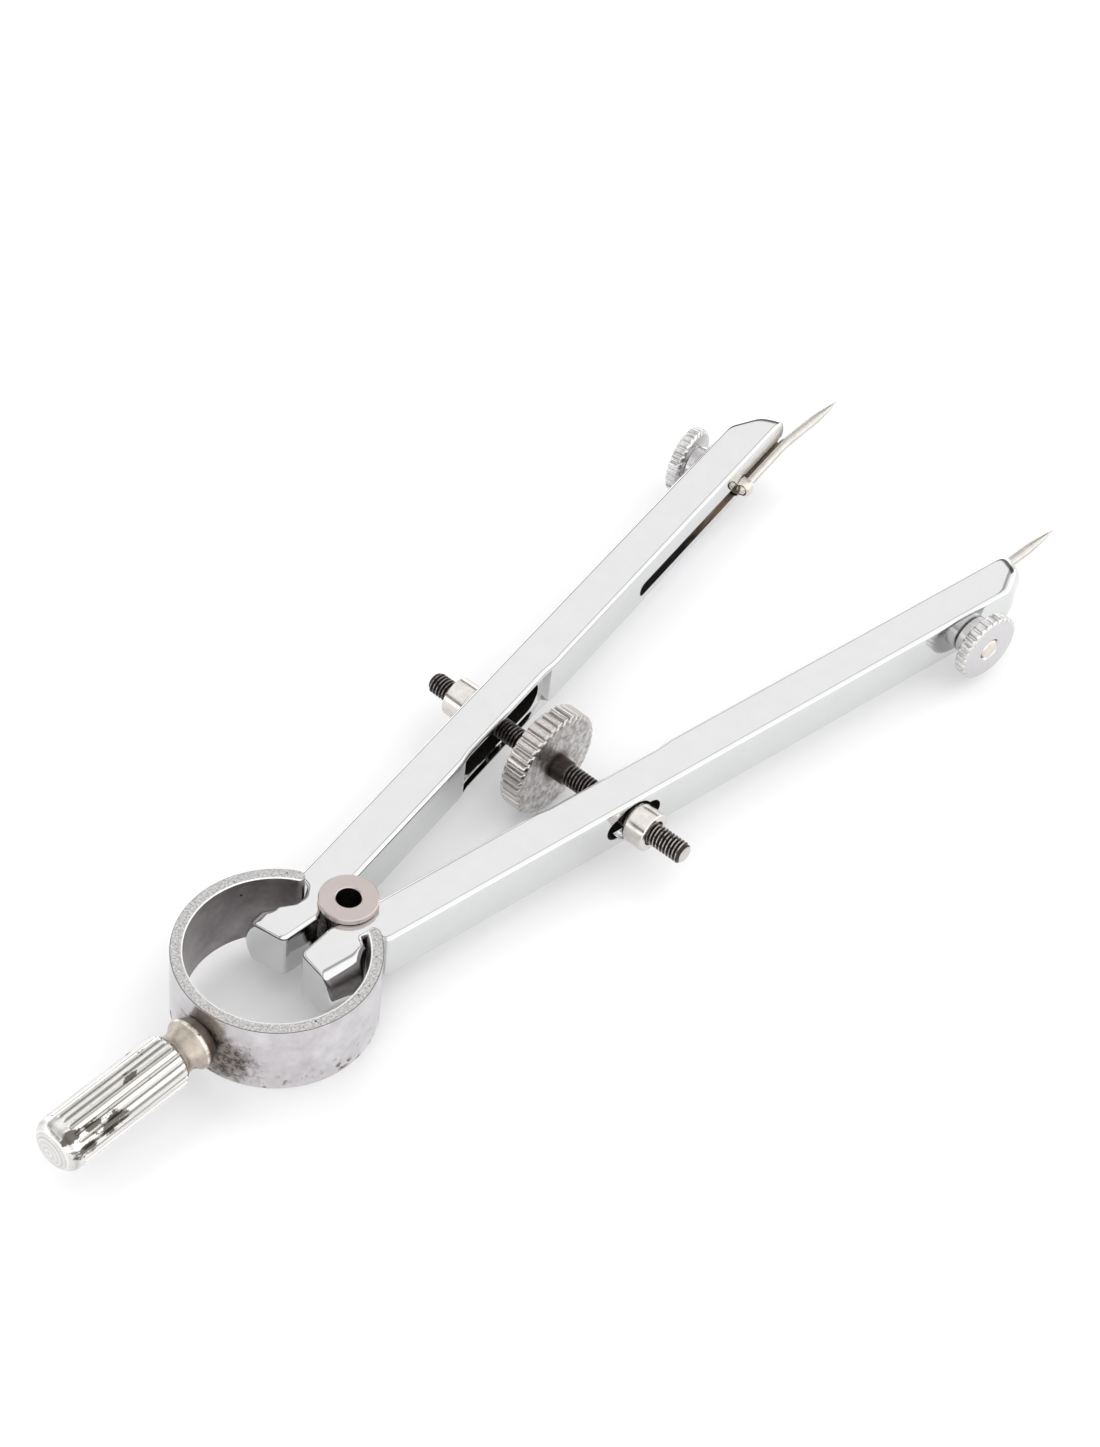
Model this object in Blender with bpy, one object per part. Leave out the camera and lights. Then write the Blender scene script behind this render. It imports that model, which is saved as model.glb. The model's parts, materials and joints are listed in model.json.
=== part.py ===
"""Spring-bow drawing compass, built as separate pieces in metres with +Z up.

A C-shaped spring ring pinches two legs against a flanged pivot roller.  A screw
with a knurled wheel joins the legs through two swivel nuts, and each leg holds a
bent steel needle in a groove with an eye bolt and a knurled clamp nut.

Frame: +Y runs from the handle to the needle points, +X towards the right leg and
+Z is square to the plane of the legs.  The origin is under the middle of the
compass, level with the lowest point of the wheel.  Leg sizes are given across
the leg (away from the other leg), along it (away from the roller) and in height.
"""

import math

import bmesh
import bpy
from mathutils import Matrix, Vector

MM = 0.001
GAP = 0.3  # clearance between neighbouring pieces
SIDES = (("right", 1), ("left", -1))

# Legs
LEG_ANGLE = math.radians(9.17)  # each leg from the centre line at rest
LEG_HALF_HEIGHT = 3.5
LEG_INNER = 1.55  # inner face, across the leg
LEG_OUTER = 7.25  # outer face
LEG_FILLET = 0.6
HEAD_END = -9.0  # head end, along the leg
HEAD_OUTER = 6.4
HEAD_SWELL = 2.0  # how far the head's rounded outer side stands out between the faces
HEAD_SHOULDERS = {1: (-2.35, -5.8), -1: (-5.1, -6.9)}  # where the swelling starts and is full
NOTCH_TOP = ((6.9, 0.2), (5.9, -0.1), (5.15, -0.6), (4.85, -1.2))  # across, along
NOTCH_FLANKS = {  # from the notch's floor towards the head's outer side, by side
    1: ((4.85, -2.2),),
    -1: ((4.8, -2.3), (4.95, -3.1), (5.5, -4.1)),
}
HEAD_TAPER_START = -4.0
HEAD_TAPER_INNER = 2.72
TIP_INNER_ALONG = 108.2
TIP_OUTER_ALONG = 103.3
TIP_BULGE = 3.0
BULGE_HEIGHTS = (-2.35, -0.95, 0.95, 2.35)  # outlines between the fillets
POCKET_FLOOR = 2.0  # shallow relief that the wheel closes into
POCKET_ENDS = (27.0, 48.6)
POCKET_RUNOUT = 1.2

# Pivot roller
ROLLER_FLANGE_RADIUS = 3.6
ROLLER_FLANGE = 1.0
ROLLER_WAIST_RADIUS = 2.4
ROLLER_BORE_RADIUS = 1.53

# Spring ring
RING_OUTER_RADIUS = 12.2
RING_WALL = 1.5
RING_HALF_HEIGHT = 5.05
RING_CENTRE_Y = -11.8
RING_ARC_START = math.radians(36.0)  # from +Y, where the end hooks begin
HOOK_RADIUS = 5.05
HOOK_TURN = math.radians(9.0)

# Handle
STEM_RADIUS = 1.3
COLLAR_RADIUS = 3.25
COLLAR_LENGTH = 1.7
NECK_RADIUS = 2.45
NECK_LENGTH = 2.15
GRIP_RADIUS = 3.4
GRIP_LENGTH = 18.2
GRIP_FLUTES = 20
FLUTE_DEPTH = 0.3

# Adjusting screw, wheel and swivel nuts
SCREW_RADIUS = 1.4
SCREW_ENDS = (-20.1, 21.4)
WHEEL_RADIUS = 7.25
WHEEL_WIDTH = 3.2
WHEEL_X = -1.0
WHEEL_TEETH = 36
NUT_RADIUS = 2.65
NUT_LENGTH = 3.7
NUT_CROWN = 0.45
NUT_ALONG = 38.5  # swivel axis, along the leg
NUT_ACROSS = 6.9
SEAT_RADIUS = 3.1
SEAT_DEPTH = 0.9
SLOT_HALF_LENGTH = 4.6
SLOT_HALF_HEIGHT = 1.75
RELIEF_ENDS = (28.9, 46.3)
RELIEF_FLOOR = 4.5
RELIEF_HALF_HEIGHT = 1.9

# Needle clamps
CLAMP_ALONG = 98.1
CLAMP_HEIGHT = -0.75
BOLT_RADIUS = 1.35
BOLT_TRAVEL = 0.5
BOLT_ENDS = (-0.6, 11.2)
CLAMP_HUB_RADIUS = 2.75
CLAMP_HUB_LENGTH = 1.75
CLAMP_RADIUS = 4.85
CLAMP_WIDTH = 1.8
CLAMP_TEETH = 28
NEEDLE_RADIUS = 0.7
NEEDLE_ACROSS = 0.95
NEEDLE_REAR = 96.8
NEEDLE_BEND = 109.6
NEEDLE_TAPER = 116.3
NEEDLE_TIP = (123.0, -0.66)  # along, across
GROOVE_ENDS = (70.6, 116.0)
GROOVE_FLOOR = 2.6
GROOVE_HALF_HEIGHT = 1.05

RING_REAR_Y = RING_CENTRE_Y - RING_OUTER_RADIUS
GRIP_FRONT_Y = RING_REAR_Y - GAP - COLLAR_LENGTH - NECK_LENGTH - GAP
HANDLE_END_Y = GRIP_FRONT_Y - GRIP_LENGTH
POINT_Y = NEEDLE_TIP[0] * math.cos(LEG_ANGLE) - NEEDLE_TIP[1] * math.sin(LEG_ANGLE)
PIVOT = Vector((0.0, -0.5 * (POINT_Y + HANDLE_END_Y), WHEEL_RADIUS)) * MM

FINISHES = {
    "chrome": ((0.80, 0.80, 0.79), 0.18),
    "nickel": ((0.62, 0.60, 0.57), 0.30),
    "spring_steel": ((0.55, 0.53, 0.51), 0.32),
    "satin_steel": ((0.60, 0.54, 0.50), 0.42),
    "tarnished_brass": ((0.38, 0.33, 0.26), 0.45),
    "black_oxide": ((0.06, 0.05, 0.05), 0.38),
    "wheel_steel": ((0.50, 0.47, 0.44), 0.40),
    "warm_nickel": ((0.72, 0.68, 0.62), 0.25),
    "brass": ((0.62, 0.55, 0.42), 0.35),
    "needle_steel": ((0.58, 0.55, 0.50), 0.28),
}


# ---------------------------------------------------------------- helpers


def clear_scene():
    for old in list(bpy.data.objects):
        bpy.data.objects.remove(old, do_unlink=True)


def material(name):
    """Principled material in one of the named metal finishes."""
    mat = bpy.data.materials.get(name)
    if mat:
        return mat
    mat = bpy.data.materials.new(name)
    mat.use_nodes = True
    colour, roughness = FINISHES[name]
    shader = mat.node_tree.nodes["Principled BSDF"]
    shader.inputs["Base Color"].default_value = (*colour, 1.0)
    shader.inputs["Roughness"].default_value = roughness
    shader.inputs["Metallic"].default_value = 1.0
    return mat


def empty(name, parent=None, location=(0, 0, 0), turn=0.0):
    """Joint axis marker: location in millimetres under its parent."""
    marker = bpy.data.objects.new(name, None)
    bpy.context.collection.objects.link(marker)
    marker.parent = parent
    marker.location = Vector(location) * MM
    marker.rotation_euler.z = turn
    return marker


def add_piece(name, bm, finish, parent, location=(0, 0, 0), smooth_angle=40.0):
    """Finish a bmesh drawn in millimetres as one named object."""
    bmesh.ops.scale(bm, vec=(MM, MM, MM), verts=bm.verts)
    bmesh.ops.recalc_face_normals(bm, faces=bm.faces)
    mesh = bpy.data.meshes.new(name)
    bm.to_mesh(mesh)
    bm.free()
    mesh.shade_smooth()
    mesh.set_sharp_from_angle(angle=math.radians(smooth_angle))
    piece = bpy.data.objects.new(name, mesh)
    bpy.context.collection.objects.link(piece)
    piece.parent = parent
    piece.location = Vector(location) * MM
    if finish:
        mesh.materials.append(material(finish))
    return piece


def cut(piece, name, bm, parent):
    """Subtract a closed bmesh, drawn in millimetres in the parent's frame."""
    cutter = add_piece(name, bm, None, parent)
    cutter.hide_render = True
    cutter.display_type = "WIRE"
    boolean = piece.modifiers.new(name, "BOOLEAN")
    boolean.operation = "DIFFERENCE"
    boolean.solver = "EXACT"
    boolean.object = cutter


def turned(profile, segments, axis="Z", closed=False):
    """Spin a profile of (radius, along) points about an axis into a solid.

    An open profile starts and ends on the axis; a closed one makes a ring.
    """
    bm = bmesh.new()
    verts = [bm.verts.new((radius, 0.0, along)) for radius, along in profile]
    pairs = list(zip(verts, verts[1:]))
    if closed:
        pairs.append((verts[-1], verts[0]))
    edges = [bm.edges.new(pair) for pair in pairs]
    bmesh.ops.spin(
        bm, geom=verts + edges, cent=(0, 0, 0), axis=(0, 0, 1), dvec=(0, 0, 0),
        angle=2 * math.pi, steps=segments, use_merge=True,
    )
    bmesh.ops.remove_doubles(bm, verts=bm.verts, dist=1e-4)
    aim = {"X": (1, 0, 0), "-X": (-1, 0, 0), "-Y": (0, -1, 0), "Z": (0, 0, 1)}[axis]
    turn = Vector((0, 0, 1)).rotation_difference(Vector(aim)).to_matrix()
    bmesh.ops.rotate(bm, cent=(0, 0, 0), matrix=turn, verts=bm.verts)
    return bm


def lofted(rings):
    """Bridge rings of (x, y, z) points, all of one length, and cap both ends."""
    bm = bmesh.new()
    loops = [[bm.verts.new(point) for point in ring] for ring in rings]
    count = len(rings[0])
    for lower, upper in zip(loops, loops[1:]):
        for i in range(count):
            j = (i + 1) % count
            bm.faces.new((lower[i], lower[j], upper[j], upper[i]))
    bm.faces.new(reversed(loops[0]))
    bm.faces.new(loops[-1])
    return bm


def arc(centre, radius, start, end, steps):
    """Points on a circle from one angle to another, in radians from +X."""
    angles = [start + (end - start) * i / steps for i in range(steps + 1)]
    return [
        (centre[0] + radius * math.cos(a), centre[1] + radius * math.sin(a)) for a in angles
    ]


def inset(outline, distance):
    """Move every side of a clockwise outline inwards by a distance."""
    count = len(outline)
    moved = []
    for i in range(count):
        here = Vector(outline[i])
        before = (here - Vector(outline[i - 1])).normalized()
        after = (Vector(outline[(i + 1) % count]) - here).normalized()
        normal_before = Vector((before.y, -before.x))
        normal_after = Vector((after.y, -after.x))
        bisector = (normal_before + normal_after).normalized()
        reach = distance / max(0.5, bisector.dot(normal_before))
        moved.append(tuple(here + bisector * reach))
    return moved


def extruded(outline, low, high):
    """Upright prism over an (x, y) outline."""
    rings = [[(x, y, z) for x, y in outline] for z in (low, high)]
    return lofted(rings)


def toothed(radius, depth, teeth):
    """Round outline with flat-topped teeth, as (u, v) points."""
    points = []
    for tooth in range(teeth):
        for share, reach in (
            (-0.26, radius), (0.26, radius), (0.38, radius - depth), (0.62, radius - depth)
        ):
            angle = 2 * math.pi * (tooth + share) / teeth
            points.append((reach * math.cos(angle), reach * math.sin(angle)))
    return points


# ---------------------------------------------------------------- head and handle


def ring_outline():
    """C-shaped band with hooked ends, seen from above, round the pivot axis."""
    mean = RING_OUTER_RADIUS - 0.5 * RING_WALL
    centre = Vector((0.0, RING_CENTRE_Y))
    first = 0.5 * math.pi - RING_ARC_START
    bend = centre + Vector((math.cos(first), math.sin(first))) * (mean - HOOK_RADIUS)

    def band(radius_shift):
        hook = arc(bend, HOOK_RADIUS + radius_shift, first + HOOK_TURN, first, 7)
        main = arc(centre, mean + radius_shift, first, first - math.pi + RING_ARC_START, 18)
        half = hook + main[1:]
        half[-1] = (0.0, half[-1][1])
        return half + [(-x, y) for x, y in reversed(half[:-1])]

    half_wall = 0.5 * RING_WALL
    outer = band(half_wall)
    inner = band(-half_wall)
    end = first + HOOK_TURN
    tip = bend + Vector((math.cos(end), math.sin(end))) * HOOK_RADIUS
    right_tip = arc(tip, half_wall, end + math.pi, end, 6)[1:-1]
    left_tip = [(-x, y) for x, y in reversed(right_tip)]
    return outer + left_tip + list(reversed(inner)) + right_tip


def build_spring_ring(pivot):
    ring = add_piece(
        "spring_ring", extruded(ring_outline(), -RING_HALF_HEIGHT, RING_HALF_HEIGHT),
        "spring_steel", pivot,
    )
    hole = turned(
        [(0, -RING_REAR_Y - 4), (STEM_RADIUS + GAP, -RING_REAR_Y - 4),
         (STEM_RADIUS + GAP, -RING_REAR_Y + 2), (0, -RING_REAR_Y + 2)], 20, "-Y",
    )
    cut(ring, "stem_hole_cutter", hole, pivot)


def build_handle(pivot):
    """Riveted stem with its collar and waisted neck, and the fluted grip on it."""
    inside = -(RING_REAR_Y + RING_WALL) - GAP
    collar = -RING_REAR_Y + GAP
    neck = collar + COLLAR_LENGTH
    shoulder = neck + NECK_LENGTH
    stem = turned(
        [(0, inside - 0.9), (1.2, inside - 0.9), (2.0, inside - 0.3), (2.0, inside),
         (STEM_RADIUS, inside), (STEM_RADIUS, collar), (COLLAR_RADIUS - 0.2, collar),
         (COLLAR_RADIUS, collar + 0.3), (COLLAR_RADIUS, neck), (2.75, neck + 0.55),
         (NECK_RADIUS, neck + 1.3), (NECK_RADIUS + 0.1, neck + 1.9), (2.85, shoulder),
         (STEM_RADIUS, shoulder), (STEM_RADIUS, shoulder + 8), (0, shoulder + 8)],
        28, "-Y",
    )
    add_piece("handle_stem", stem, "tarnished_brass", pivot)

    front = shoulder + GAP
    end = front + GRIP_LENGTH
    sections = (
        (front, 2.85, 0.0), (front + 0.5, GRIP_RADIUS, 1.0), (end - 2.2, GRIP_RADIUS, 1.0),
        (end - 1.7, GRIP_RADIUS - 0.15, 0.0), (end - 0.6, 2.75, 0.0), (end, 1.5, 0.0),
    )
    rings = []
    for along, radius, fluted in sections:
        points = toothed(radius, FLUTE_DEPTH * fluted, GRIP_FLUTES)
        rings.append([(u, -along, v) for u, v in points])
    grip = add_piece("handle_grip", lofted(rings), "nickel", pivot)
    bore = turned(
        [(0, front - 2), (STEM_RADIUS + GAP, front - 2),
         (STEM_RADIUS + GAP, front + 8.3), (0, front + 8.3)], 20, "-Y",
    )
    cut(grip, "grip_bore_cutter", bore, pivot)


def build_roller(pivot):
    face = LEG_HALF_HEIGHT + GAP
    top = face + ROLLER_FLANGE
    half = [
        (ROLLER_BORE_RADIUS, top), (ROLLER_FLANGE_RADIUS - 0.1, top),
        (ROLLER_FLANGE_RADIUS, top - 0.1), (ROLLER_FLANGE_RADIUS, face),
        (ROLLER_WAIST_RADIUS, face),
    ]
    profile = half + [(radius, -z) for radius, z in reversed(half)]
    add_piece("pivot_roller", turned(profile, 36, "Z", closed=True), "satin_steel", pivot)


# ---------------------------------------------------------------- legs


def leg_outline(side, swell):
    """Clockwise (across, along) outline; swell is 0 at the faces and 1 halfway between."""
    seat = ROLLER_WAIST_RADIUS + GAP
    seat_angle = math.acos(LEG_INNER / seat)
    low, high = POCKET_ENDS
    head = [(3.4, HEAD_END), (HEAD_TAPER_INNER, HEAD_END + 0.7), (LEG_INNER, HEAD_TAPER_START)]
    inner = [
        (LEG_INNER, low), (POCKET_FLOOR, low + POCKET_RUNOUT),
        (POCKET_FLOOR, high - POCKET_RUNOUT), (LEG_INNER, high),
    ]
    tip = [
        (LEG_INNER, TIP_INNER_ALONG - 1.0), (LEG_INNER + 0.25, TIP_INNER_ALONG - 0.2),
        (LEG_INNER + 1.1, TIP_INNER_ALONG), (LEG_OUTER - 1.4, TIP_OUTER_ALONG + 1.6),
        (LEG_OUTER - 0.4, TIP_OUTER_ALONG + 0.3), (LEG_OUTER, TIP_OUTER_ALONG - 1.2),
    ]
    tip = [(across, along + TIP_BULGE * swell) for across, along in tip]
    notch = [(LEG_OUTER, 0.75), *NOTCH_TOP, *NOTCH_FLANKS[side]]
    start, full = HEAD_SHOULDERS[side]
    side_across = HEAD_OUTER + HEAD_SWELL * swell
    heel = [
        (HEAD_OUTER, start), (0.5 * (HEAD_OUTER + side_across), 0.5 * (start + full)),
        (side_across, full), (side_across, HEAD_END + 0.6), (side_across - 0.6, HEAD_END),
    ]
    return head + arc((0, 0), seat, -seat_angle, seat_angle, 8) + inner + tip + notch + heel


def leg_body(side):
    """Leg as a stack of outlines, with rounded edges and a bullnose tip."""
    fillet_steps = ((0.0, 1.0), (0.08, 0.62), (0.32, 0.25), (0.68, 0.05), (1.0, 0.0))
    lower = [(-LEG_HALF_HEIGHT + LEG_FILLET * h, LEG_FILLET * w) for h, w in fillet_steps]
    heights = lower + [(z, 0.0) for z in BULGE_HEIGHTS]
    heights += [(-z, width) for z, width in reversed(lower)]
    rings = []
    for z, edge in heights:
        swell = math.sqrt(1.0 - (z / LEG_HALF_HEIGHT) ** 2)
        outline = inset(leg_outline(side, swell), edge)
        rings.append([(side * across, along, z) for across, along in outline])
    return lofted(rings)


def across_cutter(side, outline, near, far):
    """Prism through the leg: an (along, height) outline between two across values."""
    rings = [[(side * across, along, z) for along, z in outline] for across in (near, far)]
    return lofted(rings)


def stadium(centre, half_length, half_height, steps=6):
    """Round-ended slot outline as (along, height) points."""
    reach = half_length - half_height
    right = arc((centre + reach, 0), half_height, -0.5 * math.pi, 0.5 * math.pi, steps)
    left = arc((centre - reach, 0), half_height, 0.5 * math.pi, 1.5 * math.pi, steps)
    return right + left


def circle(centre, radius, steps):
    points = arc(centre, radius, 0.0, 2 * math.pi, steps)
    return points[:-1]


def box_outline(low, high, centre, half_height):
    """Rectangle of (along, height) points."""
    return [
        (low, centre - half_height), (high, centre - half_height),
        (high, centre + half_height), (low, centre + half_height),
    ]


def build_leg(name, side, frame):
    leg = add_piece(f"{name}_leg", leg_body(side), "chrome", frame, smooth_angle=30.0)
    beyond = LEG_OUTER + 1.0
    slot = stadium(NUT_ALONG, SLOT_HALF_LENGTH, SLOT_HALF_HEIGHT)
    cut(leg, f"{name}_slot_cutter", across_cutter(side, slot, RELIEF_FLOOR - 1.0, beyond), frame)
    relief_centre = 0.5 * sum(RELIEF_ENDS)
    relief_half = 0.5 * (RELIEF_ENDS[1] - RELIEF_ENDS[0])
    relief = stadium(relief_centre, relief_half, RELIEF_HALF_HEIGHT)
    cut(leg, f"{name}_relief_cutter", across_cutter(side, relief, 0.6, RELIEF_FLOOR), frame)
    seat = circle((NUT_ALONG, 0.0), SEAT_RADIUS, 24)
    seat_floor = LEG_OUTER - SEAT_DEPTH
    cut(leg, f"{name}_seat_cutter", across_cutter(side, seat, seat_floor, beyond), frame)
    groove = box_outline(*GROOVE_ENDS, CLAMP_HEIGHT, GROOVE_HALF_HEIGHT)
    cut(leg, f"{name}_groove_cutter", across_cutter(side, groove, 0.7, GROOVE_FLOOR), frame)
    hole = circle((CLAMP_ALONG, CLAMP_HEIGHT), BOLT_RADIUS + GAP, 20)
    cut(leg, f"{name}_bolt_cutter", across_cutter(side, hole, 0.8, beyond), frame)


# ---------------------------------------------------------------- screw and wheel


def build_screw(axis):
    start, end = SCREW_ENDS
    profile = [
        (0, start), (SCREW_RADIUS - 0.35, start), (SCREW_RADIUS, start + 0.35),
        (SCREW_RADIUS, end - 0.35), (SCREW_RADIUS - 0.35, end), (0, end),
    ]
    add_piece("adjusting_screw", turned(profile, 24, "X"), "black_oxide", axis)


def toothed_wheel(radius, width, teeth, chamfer):
    """Knurled disc across X, centred on the origin, with chamfered rims."""
    half = 0.5 * width
    rings = []
    for x, reach, depth in (
        (-half, radius - chamfer, 0.0), (-half + chamfer, radius, 0.35),
        (half - chamfer, radius, 0.35), (half, radius - chamfer, 0.0),
    ):
        rings.append([(x, u, v) for u, v in toothed(reach, depth, teeth)])
    return lofted(rings)


def build_wheel(axis):
    wheel = add_piece(
        "adjusting_wheel", toothed_wheel(WHEEL_RADIUS, WHEEL_WIDTH, WHEEL_TEETH, 0.4),
        "wheel_steel", axis, location=(WHEEL_X, 0, 0),
    )
    bore = turned(
        [(0, WHEEL_X - 4), (SCREW_RADIUS + GAP, WHEEL_X - 4),
         (SCREW_RADIUS + GAP, WHEEL_X + 4), (0, WHEEL_X + 4)], 24, "X",
    )
    cut(wheel, "wheel_bore_cutter", bore, axis)


def build_swivel_nut(name, side, frame):
    """Round nut that bears on the leg's outer seat and stays square to the screw."""
    swivel = empty(
        f"{name}_nut_axis", frame, (side * NUT_ACROSS, NUT_ALONG, 0), side * LEG_ANGLE
    )
    bore = SCREW_RADIUS + GAP + 0.05
    middle = 0.5 * (bore + NUT_RADIUS)
    profile = [
        (bore, 0.1), (middle, 0.2), (NUT_RADIUS, NUT_CROWN), (NUT_RADIUS, NUT_LENGTH - 0.15),
        (NUT_RADIUS - 0.15, NUT_LENGTH), (bore, NUT_LENGTH),
    ]
    nut = turned(profile, 28, "X" if side > 0 else "-X", closed=True)
    add_piece(f"{name}_swivel_nut", nut, "warm_nickel", swivel)


# ---------------------------------------------------------------- needle clamps


def build_eye_bolt(name, side, frame):
    start, end = BOLT_ENDS
    profile = [
        (0, start), (BOLT_RADIUS - 0.3, start), (BOLT_RADIUS, start + 0.3),
        (BOLT_RADIUS, end - 0.25), (BOLT_RADIUS - 0.25, end), (0, end),
    ]
    bolt = turned(profile, 20, "X" if side > 0 else "-X")
    place = (0, CLAMP_ALONG, CLAMP_HEIGHT)
    piece = add_piece(f"{name}_eye_bolt", bolt, "brass", frame, location=place)
    eye = NEEDLE_RADIUS + GAP
    shift = NEEDLE_ACROSS + 0.5 * BOLT_TRAVEL
    outline = [
        (side * (shift + across), z)
        for across, z in stadium(0.0, eye + 0.5 * BOLT_TRAVEL, eye, 5)
    ]
    rings = [
        [(x, along, CLAMP_HEIGHT + z) for x, z in outline]
        for along in (CLAMP_ALONG - 3, CLAMP_ALONG + 3)
    ]
    cut(piece, f"{name}_eye_cutter", lofted(rings), frame)


def build_clamp_nut(name, side, frame):
    """Knurled nut with a plain hub that bears on the leg."""
    hub = LEG_OUTER + GAP
    head = hub + CLAMP_HUB_LENGTH
    face = head + CLAMP_WIDTH
    teeth = CLAMP_TEETH
    rings = []
    for across, radius, depth in (
        (hub, CLAMP_HUB_RADIUS, 0.0), (head, CLAMP_HUB_RADIUS, 0.0),
        (head, CLAMP_RADIUS - 0.2, 0.0), (head + 0.2, CLAMP_RADIUS, 0.28),
        (face - 0.2, CLAMP_RADIUS, 0.28), (face, CLAMP_RADIUS - 0.2, 0.0),
    ):
        rings.append([(side * across, u, v) for u, v in toothed(radius, depth, teeth)])
    nut = add_piece(
        f"{name}_clamp_nut", lofted(rings), "nickel", frame,
        location=(0, CLAMP_ALONG, CLAMP_HEIGHT),
    )
    hole = circle((CLAMP_ALONG, CLAMP_HEIGHT), BOLT_RADIUS + GAP, 20)
    cutter = across_cutter(side, hole, hub - 1.0, face + 1.0)
    cut(nut, f"{name}_nut_bore_cutter", cutter, frame)


def build_needle(name, side, frame):
    """Straight shank in the groove, bent inwards to a fine point."""
    tip_along, tip_across = NEEDLE_TIP
    slope = (tip_across - NEEDLE_ACROSS) / (tip_along - NEEDLE_BEND)

    def across_at(along):
        return NEEDLE_ACROSS + slope * max(0.0, along - NEEDLE_BEND)

    middle = 0.5 * (NEEDLE_TAPER + tip_along)
    stations = (
        (NEEDLE_REAR, 0.40), (NEEDLE_REAR + 0.3, NEEDLE_RADIUS),
        (NEEDLE_BEND - 0.6, NEEDLE_RADIUS), (NEEDLE_BEND + 0.6, NEEDLE_RADIUS),
        (NEEDLE_TAPER, NEEDLE_RADIUS), (middle, 0.65 * NEEDLE_RADIUS),
        (tip_along - 0.3, 0.06), (tip_along, 0.02),
    )
    rings = []
    for along, radius in stations:
        ring = circle((0.0, 0.0), radius, 14)
        rings.append([(side * (across_at(along) + u), along, v) for u, v in ring])
    add_piece(
        f"{name}_needle", lofted(rings), "needle_steel", frame, location=(0, 0, CLAMP_HEIGHT)
    )


# ---------------------------------------------------------------- assembly


def build_compass():
    clear_scene()
    pivot = empty("pivot_axis", location=PIVOT / MM)
    build_handle(pivot)
    build_spring_ring(pivot)
    build_roller(pivot)
    screw_y = NUT_ALONG * math.cos(LEG_ANGLE) - NUT_ACROSS * math.sin(LEG_ANGLE)
    screw_axis = empty("screw_axis", pivot, (0, screw_y, 0))
    build_screw(screw_axis)
    build_wheel(screw_axis)
    for name, side in SIDES:
        frame = empty(f"{name}_leg_axis", pivot, turn=-side * LEG_ANGLE)
        build_leg(name, side, frame)
        build_swivel_nut(name, side, frame)
        build_eye_bolt(name, side, frame)
        build_clamp_nut(name, side, frame)
        build_needle(name, side, frame)


build_compass()
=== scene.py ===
"""Looks of the spring-bow drawing compass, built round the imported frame.

Pieces are drawn in millimetres, either about the pivot roller (+Y towards the
needles, +Z up) or about one leg (across from the other leg, along from the
roller, height), and are then placed in the frame in metres.
"""

import json
import math

import bmesh
import bpy
from mathutils import Matrix, Vector


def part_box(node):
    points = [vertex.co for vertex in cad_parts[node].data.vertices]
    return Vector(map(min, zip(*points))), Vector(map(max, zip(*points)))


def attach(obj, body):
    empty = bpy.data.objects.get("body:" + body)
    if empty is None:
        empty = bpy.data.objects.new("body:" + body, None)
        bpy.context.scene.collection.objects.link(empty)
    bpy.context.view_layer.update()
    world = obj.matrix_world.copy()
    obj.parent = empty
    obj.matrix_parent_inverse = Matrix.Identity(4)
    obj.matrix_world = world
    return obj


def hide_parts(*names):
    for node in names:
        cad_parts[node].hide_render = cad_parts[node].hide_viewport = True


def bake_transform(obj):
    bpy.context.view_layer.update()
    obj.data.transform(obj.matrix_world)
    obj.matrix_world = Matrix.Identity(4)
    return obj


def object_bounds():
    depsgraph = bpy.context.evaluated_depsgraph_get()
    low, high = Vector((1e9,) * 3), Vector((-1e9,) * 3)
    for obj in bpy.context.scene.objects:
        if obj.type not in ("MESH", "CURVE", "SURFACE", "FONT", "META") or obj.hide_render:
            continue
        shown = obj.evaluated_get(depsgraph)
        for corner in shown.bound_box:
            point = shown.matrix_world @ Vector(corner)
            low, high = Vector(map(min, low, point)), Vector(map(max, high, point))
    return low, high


MM = 0.001
SIDES = (("right", 1), ("left", -1))

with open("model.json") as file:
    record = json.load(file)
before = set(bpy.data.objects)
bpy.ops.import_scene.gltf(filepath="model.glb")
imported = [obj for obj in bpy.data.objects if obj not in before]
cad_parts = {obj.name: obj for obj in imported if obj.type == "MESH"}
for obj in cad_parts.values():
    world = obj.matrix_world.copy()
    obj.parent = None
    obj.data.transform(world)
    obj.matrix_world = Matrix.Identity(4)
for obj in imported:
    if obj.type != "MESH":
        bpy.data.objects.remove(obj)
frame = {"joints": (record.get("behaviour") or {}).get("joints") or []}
CAD_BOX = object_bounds()
JOINTS = {joint["name"]: joint for joint in frame["joints"]}
PIVOT = Vector(JOINTS["right_leg_swing"]["pos_m"])
ALONG_RIGHT = Vector(JOINTS["right_needle_slide"]["axis"])
LEG_ANGLE = math.atan2(ALONG_RIGHT.x, ALONG_RIGHT.y)
CLAMP = (Vector(JOINTS["right_clamp_turn"]["pos_m"]) - PIVOT) / MM
CLAMP_ALONG = CLAMP.x * math.sin(LEG_ANGLE) + CLAMP.y * math.cos(LEG_ANGLE)
CLAMP_HEIGHT = CLAMP.z
SWIVEL = (Vector(JOINTS["right_swivel"]["pos_m"]) - PIVOT) / MM
NUT_ALONG = SWIVEL.x * math.sin(LEG_ANGLE) + SWIVEL.y * math.cos(LEG_ANGLE)
SCREW_Y = (JOINTS["wheel_turn"]["pos_m"][1] - PIVOT.y) / MM

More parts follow.
